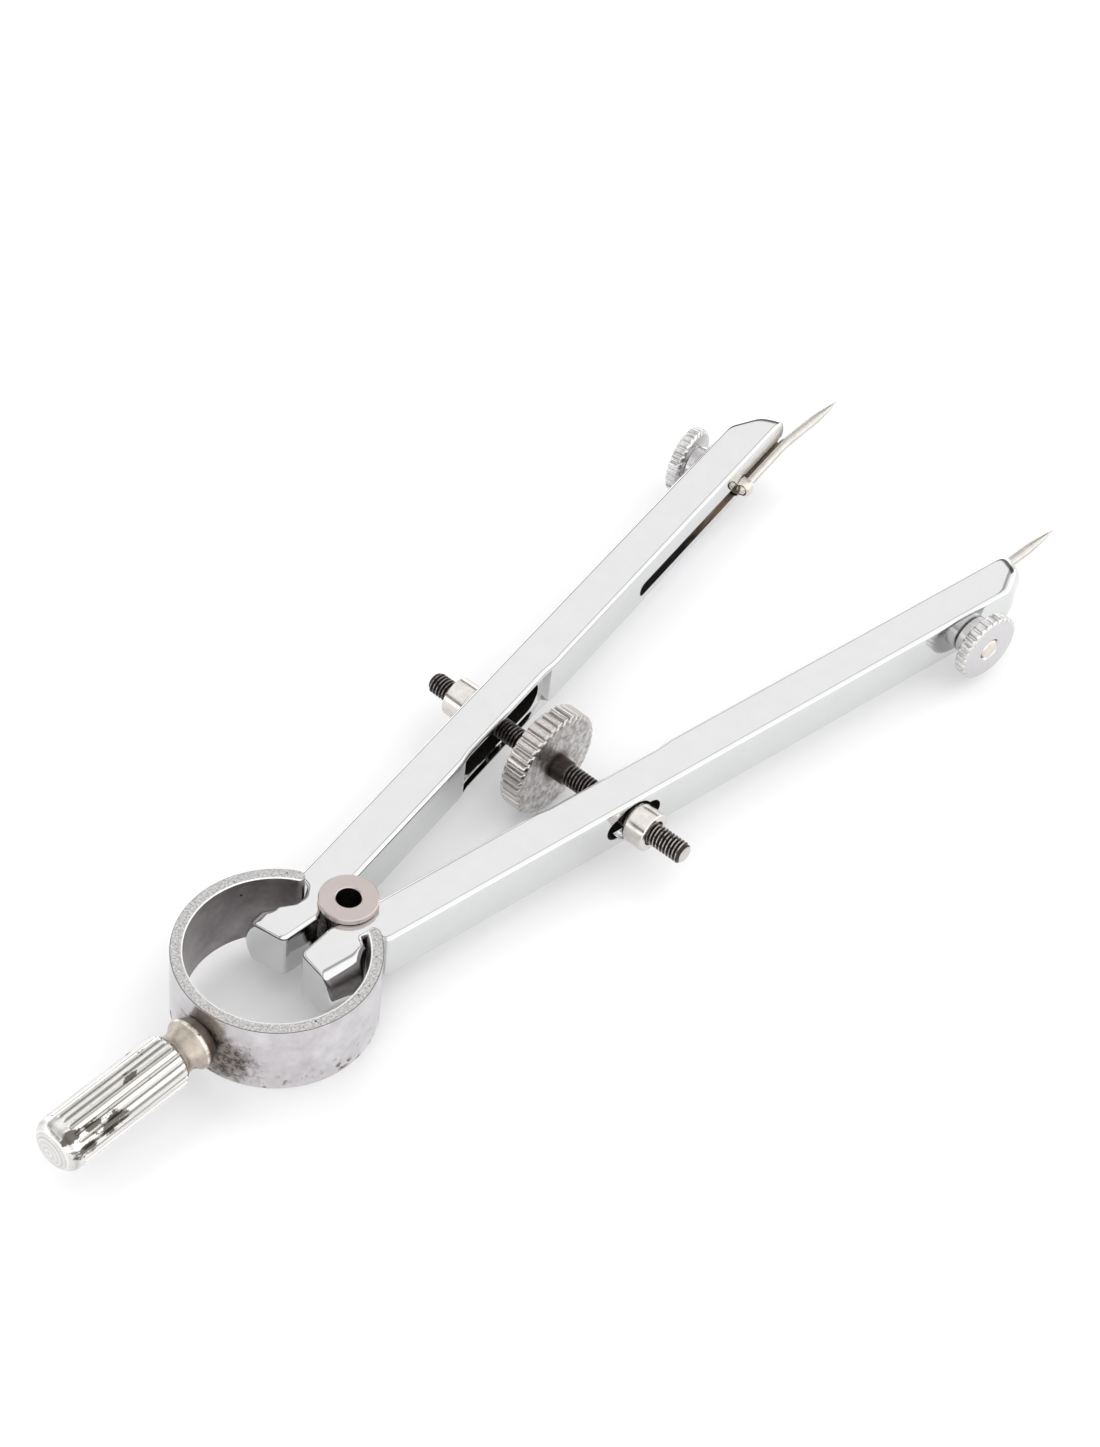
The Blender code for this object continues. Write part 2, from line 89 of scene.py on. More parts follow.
# Camera and light
AIM = Vector((-4.78, 41.87, 0.0))  # point in the middle of the view, about the pivot
VIEW_TURN = math.radians(35.84)  # from +Y towards -X
VIEW_DOWN = math.radians(45.38)
VIEW_ROLL = math.radians(7.31)
VIEW_DISTANCE = 367.7
LENS = 95.3
SOFTBOX = Vector((-0.35, 0.35, 0.9))  # in metres
SKY_STRENGTH = 2.08
SKY_STOPS = (  # upward part of the direction, and brightness
    (0.0, 1.0), (0.24, 1.0), (0.31, 0.1), (0.48, 0.1), (0.56, 0.59), (1.0, 0.59),
)
PANEL_FADE = (0.04, 0.12)  # sideways part of the direction where the bright panel starts
PANEL_LEVEL = 0.69
SEAM_PLACE = 0.08  # sideways, to the left
SEAM_FADE = (0.06, 0.12)
SEAM_LEVEL = 0.45

# Legs: across, along and height about the roller
LEG_HALF_HEIGHT = 3.5
LEG_INNER = 1.55
LEG_OUTER = 7.25
LEG_FILLET = 0.62
HEAD_END = -9.0
HEAD_OUTER = 6.5
HEAD_SWELL = 2.0  # how far the head's rounded outer side stands out between the faces
HEAD_SHOULDERS = {1: (-2.3, -4.4), -1: (-5.6, -6.9)}  # where the swelling starts and is full
SHOULDER_STEPS = 8
HEAD_TAPER_START = -4.0
HEAD_TAPER_INNER = 2.72
NOTCHES = {  # across, along and rounding of the notch that the ring's end sits in
    1: ((5.6, -0.3, 1.0), (5.2, -0.8, 0.4), (5.2, -2.0, 0.3), (HEAD_OUTER, -2.3, 0.0)),
    -1: ((5.5, -0.4, 1.4), (4.75, -2.2, 1.6), (5.1, -3.6, 0.9), (HEAD_OUTER, -5.1, 0.95)),
}
TIP_INNER_ALONG = 108.2
TIP_OUTER_ALONG = 103.2
TIP_BULGE = 2.9
SEAT_RADIUS = 2.65
POCKET_FLOOR = 1.8
POCKET_ENDS = (27.0, 48.6)
POCKET_RUNOUT = 2.0
RECESS_HALF_HEIGHT = 2.75
RECESS_FLOOR = 2.5
RECESS_SLOPE = 0.6
SLOT_HALF_LENGTH = 4.3
SLOT_HALF_HEIGHT = 1.75
NUT_SEAT_RADIUS = 2.98
NUT_SEAT_DEPTH = 0.9
RELIEF_ENDS = (28.9, 46.3)
RELIEF_FLOOR = 4.5
RELIEF_HALF_HEIGHT = 2.3
GROOVE_ENDS = (70.6, 116.0)
GROOVE_FLOOR = 2.3
GROOVE_HALF_HEIGHT = 1.05
BOLT_HOLE_RADIUS = 1.65

# Spring ring, about the pivot
RING_RADIUS = 12.2
RING_WALL = 1.5
RING_CENTRE_Y = -11.8
RING_ARC_START = math.radians(36.0)
HOOK_RADIUS = 5.05
HOOK_TURN = math.radians(9.0)
RIM_ROUNDING = 0.16
BAND_STEPS = 64
HOOK_STEPS = 20
END_STEPS = 6

# Handle
GRIP_RADIUS = 3.4
GRIP_FLUTES = 22
FLUTE_DEPTH = 0.34
DOME_LENGTH = 2.0

# Pivot roller
BORE_RADIUS = 1.53
WAIST_RADIUS = 2.4
FLANGE_RADIUS = 3.6
FLANGE_THICKNESS = 0.85
FLANGE_EDGE = 0.12

# Screw and nuts
THREAD_PITCH = 0.5
THREAD_MAJOR = 1.43
THREAD_MINOR = 1.16
SHANK_RADIUS = 1.62
SHANK_END = 2.75
SCREW_END = (Vector(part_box("adjusting_screw")[1]).x - PIVOT.x) / MM
WHEEL_TEETH = 36
NUT_RADIUS = 2.65
NUT_LENGTH = 3.5

# Needle clamps and needles
CLAMP_RADIUS = 4.85
CLAMP_TEETH = 28
CLAMP_STATIONS = (7.3, 9.15, 11.05)  # hub end, head back and head face, across the leg
STUD_RADIUS = 1.4
NEEDLE_RADIUS = 0.72
NEEDLE_ACROSS = 0.95
NEEDLE_REAR = 96.8
NEEDLE_BEND = 109.4
NEEDLE_TAPER = 116.3
NEEDLE_TIP = (122.95, -0.66)  # along, across


# ---------------------------------------------------------------- mesh helpers


def about_pivot():
    return Matrix.Translation(PIVOT) @ Matrix.Scale(MM, 4)


def about_leg(side):
    return about_pivot() @ Matrix.Rotation(-side * LEG_ANGLE, 4, "Z")


def box_mm(node):
    """Corners of a CAD node's box in millimetres about the pivot."""
    low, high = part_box(node)
    return (Vector(low) - PIVOT) / MM, (Vector(high) - PIVOT) / MM


def arc(centre, radius, start, end, steps):
    angles = [start + (end - start) * i / steps for i in range(steps + 1)]
    return [
        (centre[0] + radius * math.cos(a), centre[1] + radius * math.sin(a)) for a in angles
    ]


def circle(centre, radius, steps):
    return arc(centre, radius, 0.0, 2 * math.pi, steps)[:-1]


def rounded(corners, steps=6):
    """Outline with each (x, y, radius) corner rounded off."""
    outline = []
    count = len(corners)
    for i, (x, y, radius) in enumerate(corners):
        here = Vector((x, y))
        if radius <= 0:
            outline.append((x, y))
            continue
        before = Vector(corners[i - 1][:2]) - here
        after = (Vector(corners[(i + 1) % count][:2]) - here)
        half = 0.5 * before.angle(after)
        reach = min(radius / math.tan(half), 0.48 * before.length, 0.48 * after.length)
        first = here + before.normalized() * reach
        last = here + after.normalized() * reach
        for k in range(steps + 1):
            t = k / steps
            point = first.lerp(here, t).lerp(here.lerp(last, t), t)
            outline.append(tuple(point))
    return outline


def inset(outline, distance):
    """Move every side of a clockwise outline inwards by a distance."""
    count = len(outline)
    moved = []
    for i in range(count):
        here = Vector(outline[i])
        before = (here - Vector(outline[i - 1])).normalized()
        after = (Vector(outline[(i + 1) % count]) - here).normalized()
        normal_before = Vector((before.y, -before.x))
        normal_after = Vector((after.y, -after.x))
        bisector = (normal_before + normal_after).normalized()
        reach = distance / max(0.5, bisector.dot(normal_before))
        moved.append(tuple(here + bisector * reach))
    return moved


def lofted(rings, closed=False):
    """Bridge rings of (x, y, z) points of one length, and cap or join the ends."""
    bm = bmesh.new()
    loops = [[bm.verts.new(point) for point in ring] for ring in rings]
    count = len(rings[0])
    pairs = list(zip(loops, loops[1:]))
    if closed:
        pairs.append((loops[-1], loops[0]))
    for lower, upper in pairs:
        for i in range(count):
            j = (i + 1) % count
            bm.faces.new((lower[i], lower[j], upper[j], upper[i]))
    if not closed:
        for loop in (loops[0], loops[-1]):
            edges = [bm.edges.get((loop[i - 1], loop[i])) for i in range(count)]
            bmesh.ops.triangle_fill(bm, use_beauty=True, edges=edges)
    return bm


def turned(profile, segments, axis="Z", closed=False):
    """Spin (radius, along) points round an axis."""
    place = {
        "X": lambda r, a, c, s: (a, r * c, r * s),
        "-X": lambda r, a, c, s: (-a, r * c, -r * s),
        "-Y": lambda r, a, c, s: (r * s, -a, r * c),
        "Z": lambda r, a, c, s: (r * c, r * s, a),
    }[axis]
    rings = []
    for radius, along in profile:
        angles = [2 * math.pi * i / segments for i in range(segments)]
        rings.append([place(radius, along, math.cos(a), math.sin(a)) for a in angles])
    return lofted(rings, closed)


def stadium(centre, half_length, half_height, steps=14):
    reach = half_length - half_height
    right = arc((centre + reach, 0), half_height, -0.5 * math.pi, 0.5 * math.pi, steps)
    left = arc((centre - reach, 0), half_height, 0.5 * math.pi, 1.5 * math.pi, steps)
    return right + left


def knurl(radius, depth, teeth, flat=0.27, root=0.4, rounding=0.0):
    """Round outline of flat-topped teeth with narrow gaps, as (u, v) points."""
    points = []
    shares = (
        (-flat, radius), (0.0, radius + rounding), (flat, radius),
        (root, radius - depth), (1.0 - root, radius - depth),
    )
    for tooth in range(teeth):
        for share, reach in shares:
            angle = 2 * math.pi * (tooth + share) / teeth
            points.append((reach * math.cos(angle), reach * math.sin(angle)))
    return points


def new_object(name, bm):
    bmesh.ops.remove_doubles(bm, verts=bm.verts, dist=1e-4)
    bmesh.ops.recalc_face_normals(bm, faces=bm.faces)
    mesh = bpy.data.meshes.new(name)
    bm.to_mesh(mesh)
    bm.free()
    made = bpy.data.objects.new(name, mesh)
    bpy.context.scene.collection.objects.link(made)
    return made


def carve(target, cutters):
    """Subtract closed meshes; each cutter's faces carry their own material index."""
    slots = 1 + max(index for index, _ in cutters)
    for _ in range(slots):
        target.data.materials.append(None)
    for index, bm in cutters:
        cutter = new_object("cutter", bm)
        for _ in range(slots):
            cutter.data.materials.append(None)
        for polygon in cutter.data.polygons:
            polygon.material_index = index
        boolean = target.modifiers.new("carve", "BOOLEAN")
        boolean.operation = "DIFFERENCE"
        boolean.solver = "EXACT"
        boolean.object = cutter
        settle(target)
        bpy.data.objects.remove(cutter, do_unlink=True)


def settle(target):
    """Replace an object's mesh by what its modifiers make of it."""
    graph = bpy.context.evaluated_depsgraph_get()
    mesh = bpy.data.meshes.new_from_object(target.evaluated_get(graph))
    mesh.validate()
    target.modifiers.clear()
    target.data = mesh


def soften(target, width, angle=35.0, segments=2):
    """Round the sharp edges slightly so that they catch the light."""
    bevel = target.modifiers.new("soften", "BEVEL")
    bevel.width = width
    bevel.segments = segments
    bevel.limit_method = "ANGLE"
    bevel.angle_limit = math.radians(angle)
    bevel.use_clamp_overlap = True
    bevel.harden_normals = False
    settle(target)


def finish_piece(target, matrix, materials, body, nodes, sharp=40.0):
    """Place a drawn piece in the frame and hand it to its body."""
    target.data.transform(matrix)
    zones = [polygon.material_index for polygon in target.data.polygons]
    target.data.materials.clear()
    for material in materials:
        target.data.materials.append(material)
    target.data.polygons.foreach_set("material_index", zones)
    target.data.shade_smooth()
    target.data.set_sharp_from_angle(angle=math.radians(sharp))
    weights = target.modifiers.new("face_weights", "WEIGHTED_NORMAL")
    weights.keep_sharp = True
    settle(target)
    if body:
        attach(target, body)
    if nodes:
        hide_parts(*nodes)
    return target


# ---------------------------------------------------------------- material helpers


class Nodes:
    """Short helpers for building a node tree on one set of coordinates."""

    def __init__(self, tree, coordinates):
        self.tree = tree
        self.place = self.node("ShaderNodeTexCoord").outputs[coordinates]

    def node(self, kind, **settings):
        made = self.tree.nodes.new(kind)
        for key, value in settings.items():
            setattr(made, key, value)
        return made

    def join(self, source, target):
        if isinstance(source, bpy.types.NodeSocket):
            self.tree.links.new(source, target)
        elif isinstance(source, tuple) and len(source) == 3 and target.type == "RGBA":
            target.default_value = (*source, 1.0)
        else:
            target.default_value = source

    def math(self, operation, first, second=0.0, third=0.0, clamp=False):
        made = self.node("ShaderNodeMath", operation=operation, use_clamp=clamp)
        for source, target in zip((first, second, third), made.inputs):
            self.join(source, target)
        return made.outputs[0]

    def axis(self, letter, place=None):
        split = self.node("ShaderNodeSeparateXYZ")
        self.join(place or self.place, split.inputs[0])
        return split.outputs["XYZ".index(letter)]

    def span(self, value, low, high, out_low=0.0, out_high=1.0):
        """Smooth step of a value from one range to another."""
        made = self.node("ShaderNodeMapRange", interpolation_type="SMOOTHSTEP")
        for source, target in zip((value, low, high, out_low, out_high), made.inputs):
            self.join(source, target)
        return made.outputs[0]


class Finish(Nodes):
    """A Principled metal textured in millimetres about the pivot."""

    def __init__(self, name, metallic=1.0):
        self.material = bpy.data.materials.new(name)
        self.material.use_nodes = True
        super().__init__(self.material.node_tree, "Object")
        self.shader = self.tree.nodes["Principled BSDF"]
        self.shader.inputs["Metallic"].default_value = metallic
        shift = self.node("ShaderNodeVectorMath", operation="SUBTRACT")
        self.join(self.place, shift.inputs[0])
        shift.inputs[1].default_value = PIVOT
        scale = self.node("ShaderNodeVectorMath", operation="SCALE")
        self.join(shift.outputs[0], scale.inputs[0])
        scale.inputs["Scale"].default_value = 1.0 / MM
        self.place = scale.outputs[0]

    def moved(self, scale=(1, 1, 1), turn=0.0, shift=(0, 0, 0), place=None):
        mapping = self.node("ShaderNodeMapping", vector_type="POINT")
        self.join(place or self.place, mapping.inputs["Vector"])
        mapping.inputs["Rotation"].default_value = (0, 0, turn)
        mapping.inputs["Scale"].default_value = scale
        mapping.inputs["Location"].default_value = shift
        return mapping.outputs[0]

    def along_leg(self, side, scale=(1, 1, 1)):
        turned_place = self.moved(turn=side * LEG_ANGLE)
        return self.moved(scale=scale, place=turned_place)

    def noise(self, size, detail=3.0, roughness=0.55, place=None, distortion=0.0):
        """Noise whose blotches are about the given size in millimetres."""
        made = self.node("ShaderNodeTexNoise")
        self.join(place or self.place, made.inputs["Vector"])
        made.inputs["Scale"].default_value = 1.0 / size
        made.inputs["Detail"].default_value = detail
        made.inputs["Roughness"].default_value = roughness
        made.inputs["Distortion"].default_value = distortion
        return made.outputs["Fac"]

    def mix(self, share, first, second):
        made = self.node("ShaderNodeMix", data_type="RGBA")
        self.join(share, made.inputs[0])
        self.join(first, made.inputs[6])
        self.join(second, made.inputs[7])
        return made.outputs[2]

    def specks(self, spacing, radius, share, place=None):
        """Mask of small spots in a share of the cells of a given spacing."""
        cells = self.node("ShaderNodeTexVoronoi")
        self.join(place or self.place, cells.inputs["Vector"])
        cells.inputs["Scale"].default_value = 1.0 / spacing
        chance = self.axis("X", cells.outputs["Color"])
        size = self.span(chance, 1.0 - share, 1.0, 0.0, radius / spacing)
        edge = self.math("MULTIPLY", size, 0.5)
        return self.span(cells.outputs["Distance"], size, edge, 0.0, 1.0)

    def blotch(self, centre, reach, raggedness):
        """Ragged mask round a point, drawn out along Y."""
        away = self.radius_about((1.0, 0.4, 1.0), centre)
        ragged = self.math("MULTIPLY_ADD", raggedness, -4.0 * reach, away)
        return self.span(ragged, -0.95 * reach, -1.25 * reach)

    def radius_about(self, plane, centre=(0, 0, 0), place=None):
        """Distance from an axis: plane is a mask such as (1, 0, 1) for the Y axis."""
        shift = self.node("ShaderNodeVectorMath", operation="SUBTRACT")
        self.join(place or self.place, shift.inputs[0])
        shift.inputs[1].default_value = centre
        flat = self.node("ShaderNodeVectorMath", operation="MULTIPLY")
        self.join(shift.outputs[0], flat.inputs[0])
        flat.inputs[1].default_value = plane
        length = self.node("ShaderNodeVectorMath", operation="LENGTH")
        self.join(flat.outputs[0], length.inputs[0])
        return length.outputs["Value"]

    def ring_place(self, radius):
        """Texture place that only changes with the distance from an axis."""
        combined = self.node("ShaderNodeCombineXYZ")
        self.join(radius, combined.inputs["X"])
        return combined.outputs[0]

    def colour(self, value):
        self.join(value, self.shader.inputs["Base Color"])
        return self

    def roughness(self, value, gain, base):
        """Roughness of a base plus a gain times a value."""
        self.join(self.math("MULTIPLY_ADD", value, gain, base), self.shader.inputs["Roughness"])
        return self

    def bump(self, height, depth, strength=1.0):
        """Relief of a given depth in millimetres, on top of any set before."""
        made = self.node("ShaderNodeBump")
        made.inputs["Strength"].default_value = strength
        made.inputs["Distance"].default_value = depth * MM
        self.join(height, made.inputs["Height"])
        normal = self.shader.inputs["Normal"]
        if normal.is_linked:
            self.join(normal.links[0].from_socket, made.inputs["Normal"])
        self.join(made.outputs[0], normal)
        return self


# ---------------------------------------------------------------- materials


def chrome(side):
    """Bright plate with faint drawing lines, a soft ripple and a few black pits."""
    f = Finish("chrome_plate")
    ripple = f.noise(7.0, detail=1.0, place=f.along_leg(side, (1.0, 0.35, 1.0)))
    lines = f.noise(0.25, detail=4.0, place=f.along_leg(side, (1.0, 0.02, 1.0)))
    pits = f.specks(3.4, 0.16, 0.22)
    haze = f.noise(2.6, detail=5.0)
    tone = f.mix(haze, (0.64, 0.645, 0.64), (0.69, 0.695, 0.69))
    f.colour(f.mix(pits, tone, (0.05, 0.045, 0.04)))
    base = f.math("MULTIPLY_ADD", haze, 0.07, 0.035)
    f.roughness(pits, 0.5, base)
    f.bump(ripple, 0.012).bump(lines, 0.0012).bump(pits, -0.03)
    return f.material


def painted_slot_shade():
    """Painted shade inside the slots: near-black with pale flecks."""
    f = Finish("slot_interior_painted_shade", metallic=0.7)
    grain = f.noise(0.5, detail=5.0)
    flecks = f.specks(0.9, 0.12, 0.35)
    # near-black tone is painted shade for the inside of the slots
    dark = f.mix(grain, (0.012, 0.011, 0.011), (0.05, 0.045, 0.04))
    f.colour(f.mix(flecks, dark, (0.45, 0.44, 0.42)))
    f.roughness(grain, 0.3, 0.25)
    f.bump(grain, 0.08)
    return f.material


def groove_metal(side):
    """Needle groove: near black at its blind end, which is painted shade, and bronze towards the
    needle.
    """
    f = Finish("groove_interior", metallic=0.9)
    along = f.axis("Y", f.along_leg(side))
    grain = f.noise(0.35, detail=5.0, place=f.along_leg(side, (1.0, 0.15, 1.0)))
    warm = f.span(f.math("MULTIPLY_ADD", grain, 8.0, along), 86.0, 98.0)
    # near-black tone is painted shade in the empty end of the groove; the bronze is the metal's own
    # colour
    dark = f.mix(grain, (0.02, 0.02, 0.02), (0.09, 0.085, 0.08))
    bronze = f.mix(grain, (0.16, 0.12, 0.09), (0.55, 0.45, 0.36))
    f.colour(f.mix(warm, dark, bronze))
    f.roughness(grain, 0.25, 0.3)
    f.bump(grain, 0.05)
    return f.material


def ring_outer_metal():
    """Worn nickel with a cloud of brown solder stain round the stem and low pits."""
    f = Finish("ring_band")
    haze = f.noise(1.6, detail=6.0, roughness=0.65)
    broad = f.noise(6.0, detail=3.0)
    tone = f.mix(haze, (0.38, 0.36, 0.37), (0.74, 0.715, 0.73))
    tone = f.mix(f.span(broad, 0.45, 0.75, 0.0, 0.5), tone, (0.80, 0.795, 0.81))
    near_stem = f.radius_about((1.0, 0.0, 1.3), (1.6, 0.0, -1.0))
    ragged = f.math("MULTIPLY_ADD", f.noise(1.3, detail=6.0, roughness=0.7), -7.5, near_stem)
    stain = f.span(ragged, 2.6, -0.2)
    stain = f.math("MULTIPLY", stain, f.span(f.axis("Y"), -18.0, -21.0))
    patches = f.span(f.noise(0.7, detail=5.0, roughness=0.7), 0.42, 0.58)
    dirt = f.mix(patches, (0.02, 0.015, 0.012), (0.26, 0.215, 0.185))
    low = f.span(f.axis("Z"), -1.5, -3.8)
    clusters = f.span(f.noise(3.2, detail=2.0), 0.44, 0.54)
    pits = f.math("MULTIPLY", f.specks(0.8, 0.62, 0.75), f.math("MULTIPLY", low, clusters))
    pits = f.math("MAXIMUM", pits, f.specks(2.2, 0.14, 0.25))
    marks = f.math("MAXIMUM", f.math("MULTIPLY", stain, 0.88), pits)
    f.colour(f.mix(marks, tone, dirt))
    base = f.math("MULTIPLY_ADD", haze, 0.14, 0.14)
    f.roughness(marks, 0.35, base)
    f.bump(haze, 0.012).bump(pits, -0.06).bump(f.math("MULTIPLY", stain, haze), 0.06)
    return f.material


def ring_inner_metal():
    """Unpolished inner wall: dull brown-grey with rolling marks and dark spots."""
    f = Finish("ring_inner_wall")
    haze = f.noise(2.4, detail=6.0, roughness=0.6)
    rolled = f.noise(0.5, detail=4.0, place=f.moved(scale=(0.1, 0.1, 1.0)))
    spots = f.specks(2.0, 0.3, 0.25)
    tone = f.mix(haze, (0.13, 0.115, 0.115), (0.54, 0.505, 0.51))
    f.colour(f.mix(spots, tone, (0.03, 0.025, 0.02)))
    f.roughness(haze, 0.2, 0.24)
    f.bump(rolled, 0.015).bump(spots, -0.04)
    return f.material


def ring_rim_metal():
    """Sawn rim: pale and grainy, with rows of small pits, a painted highlight along its inner edge
    and painted shade along its outer edge.
    """
    f = Finish("ring_rim")
    grain = f.noise(0.28, detail=6.0, roughness=0.7)
    pits = f.specks(0.8, 0.2, 0.45)
    tone = f.mix(f.span(grain, 0.3, 0.7), (0.30, 0.29, 0.285), (0.80, 0.79, 0.785))
    radius = f.radius_about((1.0, 1.0, 0.0), (0.0, RING_CENTRE_Y, 0.0))
    painted_inner_highlight = f.span(radius, RING_RADIUS - RING_WALL + 0.24, RING_RADIUS - RING_WALL + 0.14)
    painted_outer_shade = f.span(radius, RING_RADIUS - 0.15, RING_RADIUS - 0.07)
    # pale band on the inner edge is a painted highlight; dark band on the outer edge is painted
    # shade
    tone = f.mix(painted_inner_highlight, tone, (0.93, 0.93, 0.92))
    tone = f.mix(painted_outer_shade, tone, (0.17, 0.155, 0.15))
    f.colour(f.mix(pits, tone, (0.09, 0.075, 0.07)))
    f.roughness(grain, 0.2, 0.34)
    f.bump(grain, 0.05).bump(pits, -0.06)
    return f.material


def grip_metal():
    """Bright nickel with drawn streaks, painted shade in the flute roots, dark stains and a turned
    dome.
    """
    f = Finish("grip_nickel")
    streaks = f.noise(0.22, detail=4.0, place=f.moved(scale=(1.0, 0.035, 1.0)))
    haze = f.noise(1.5, detail=5.0)
    tone = f.mix(streaks, (0.54, 0.53, 0.51), (0.97, 0.96, 0.94))
    radius = f.radius_about((1.0, 0.0, 1.0))
    root = f.span(radius, 3.34, 3.12)
    on_dome = f.span(f.axis("Y"), -44.4, -45.4)
    painted_flute_shade = f.math("SUBTRACT", root, on_dome, clamp=True)
    # flute roots darkened as painted shade in the grooves
    tone = f.mix(f.math("MULTIPLY", painted_flute_shade, 0.45), tone, (0.26, 0.245, 0.22))
    rings = f.noise(0.3, detail=3.0, place=f.ring_place(radius))
    turned_tone = f.mix(f.span(rings, 0.35, 0.65), (0.46, 0.45, 0.43), (0.84, 0.83, 0.81))
    tone = f.mix(f.math("MULTIPLY", on_dome, 0.8), tone, turned_tone)
    blots = f.noise(1.1, detail=6.0, roughness=0.72, place=f.moved(scale=(1.0, 0.5, 1.0)))
    stain = f.math("SUBTRACT", f.span(blots, 0.64, 0.67), on_dome, clamp=True)
    for centre, reach in (
        ((0.65, -34.8, 3.3), 0.42), ((2.8, -39.8, 1.95), 0.95), ((2.1, -41.6, 2.6), 0.5),
        ((1.7, -45.0, 2.8), 0.55), ((3.1, -43.8, 1.2), 0.7),
    ):
        stain = f.math("MAXIMUM", stain, f.blotch(centre, reach, blots))
    f.colour(f.mix(f.math("MULTIPLY", stain, 0.85), tone, (0.06, 0.045, 0.032)))
    f.roughness(stain, 0.35, f.math("MULTIPLY_ADD", haze, 0.14, 0.18))
    f.bump(streaks, 0.02).bump(f.math("MULTIPLY", rings, on_dome), 0.03)
    return f.material


def stem_metal():
    """Plate worn through to brown metal, bright on the ridge."""
    f = Finish("stem_worn_plate")
    haze = f.noise(0.9, detail=6.0, roughness=0.65)
    radius = f.radius_about((1.0, 0.0, 1.0))
    plate = f.mix(haze, (0.26, 0.22, 0.18), (0.66, 0.60, 0.52))
    brown = f.mix(haze, (0.10, 0.08, 0.065), (0.33, 0.28, 0.23))
    rear = f.span(f.axis("Y"), -25.6, -25.2)
    tone = f.mix(rear, plate, brown)
    ridge = f.span(radius, 3.18, 3.27)
    tone = f.mix(f.math("MULTIPLY", ridge, f.span(haze, 0.35, 0.6)), tone, (0.90, 0.86, 0.78))
    f.colour(f.mix(f.specks(0.8, 0.22, 0.4), tone, (0.03, 0.025, 0.02)))
    f.roughness(haze, 0.3, 0.22)
    f.bump(haze, 0.06)
    return f.material


def roller_metal():
    """Satin turned face, slightly pink."""
    f = Finish("roller_satin")
    radius = f.radius_about((1.0, 1.0, 0.0))
    rings = f.noise(0.09, detail=3.0, place=f.ring_place(radius))
    haze = f.noise(1.2, detail=5.0)
    tone = f.mix(rings, (0.42, 0.36, 0.345), (0.60, 0.535, 0.515))
    f.colour(f.mix(f.math("MULTIPLY", haze, 0.35), tone, (0.66, 0.60, 0.58)))
    f.roughness(rings, 0.16, 0.26)
    f.bump(rings, 0.006)
    return f.material


def grained_metal(name, low, high, size, gain, base, relief, metallic=1.0):
    """Metal whose tone, roughness and relief follow one fine grain."""
    f = Finish(name, metallic)
    grain = f.noise(size, detail=5.0)
    f.colour(f.mix(grain, low, high))
    f.roughness(grain, gain, base)
    f.bump(grain, relief)
    return f.material


# dark grained metal used as painted shade in bores and the roller's waist
def painted_shade_metal(name, low, high, roughness):
    return grained_metal(name, low, high, 0.4, 0.25, roughness, 0.03, metallic=0.8)


def knurled_metal(name, low, high):
    return grained_metal(name, low, high, 0.3, 0.16, 0.16, 0.012)


def thread_metal():
    """Black oxide with the thread's crests rubbed to steel."""
    f = Finish("screw_black_oxide", metallic=0.9)
    radius = f.radius_about((0.0, 1.0, 1.0), (0.0, SCREW_Y, 0.0))
    grain = f.noise(0.4, detail=5.0)
    crest = f.span(radius, THREAD_MAJOR - 0.06, THREAD_MAJOR - 0.005)
    on_thread = f.math("SUBTRACT", 1.0, f.span(radius, THREAD_MAJOR + 0.02, THREAD_MAJOR + 0.06))
    worn = f.math("MULTIPLY", f.math("MULTIPLY", crest, on_thread), f.span(grain, 0.3, 0.6))
    dark = f.mix(grain, (0.016, 0.013, 0.012), (0.075, 0.062, 0.058))
    far_end = f.span(f.axis("X"), 12.0, 19.0, 0.45, 1.0)
    end = f.span(f.axis("X"), SCREW_END - 0.12, SCREW_END - 0.04)
    bright = f.math("MAXIMUM", f.math("MULTIPLY", worn, far_end), f.math("MULTIPLY", end, 0.9))
    f.colour(f.mix(bright, dark, (0.62, 0.58, 0.56)))
    f.roughness(grain, 0.22, 0.24)
    f.bump(grain, 0.02)
    return f.material


def wheel_face_metal():
    """Mottled grey-brown face with turning marks, spots and stain at the shank."""
    f = Finish("wheel_face")
    radius = f.radius_about((0.0, 1.0, 1.0), (0.0, SCREW_Y, 0.0))
    mottle = f.noise(0.8, detail=6.0, roughness=0.7)
    rings = f.noise(0.16, detail=3.0, place=f.ring_place(radius))
    tone = f.mix(f.span(mottle, 0.3, 0.7), (0.22, 0.20, 0.185), (0.88, 0.86, 0.85))
    tone = f.mix(f.math("MULTIPLY", rings, 0.3), tone, (0.72, 0.70, 0.68))
    ragged = f.math("MULTIPLY_ADD", mottle, -2.6, radius)
    stain = f.span(ragged, 1.5, 0.4)
    tone = f.mix(f.math("MULTIPLY", stain, 0.85), tone, (0.10, 0.07, 0.055))
    f.colour(f.mix(f.specks(1.1, 0.22, 0.5), tone, (0.06, 0.05, 0.04)))
    f.roughness(mottle, 0.22, 0.26)
    f.bump(mottle, 0.02).bump(rings, 0.008)
    return f.material


def warm_nickel():
    """Turned nickel, a little cream."""
    f = Finish("nut_nickel")
    haze = f.noise(0.8, detail=5.0)
    rings = f.noise(0.12, detail=3.0, place=f.moved(scale=(1.0, 0.05, 0.05)))
    tone = f.mix(haze, (0.56, 0.53, 0.50), (0.80, 0.77, 0.735))
    f.colour(f.mix(f.specks(1.4, 0.14, 0.3), tone, (0.10, 0.08, 0.07)))
    f.roughness(rings, 0.12, 0.14)
    f.bump(rings, 0.006)
    return f.material


def brass():
    """Worn plate over brass on the ends of the eye bolts."""
    f = Finish("bolt_brass")
    haze = f.noise(0.6, detail=6.0, roughness=0.65)
    f.colour(f.mix(haze, (0.50, 0.46, 0.40), (0.88, 0.84, 0.77)))
    f.roughness(haze, 0.2, 0.24)
    f.bump(haze, 0.03)
    return f.material


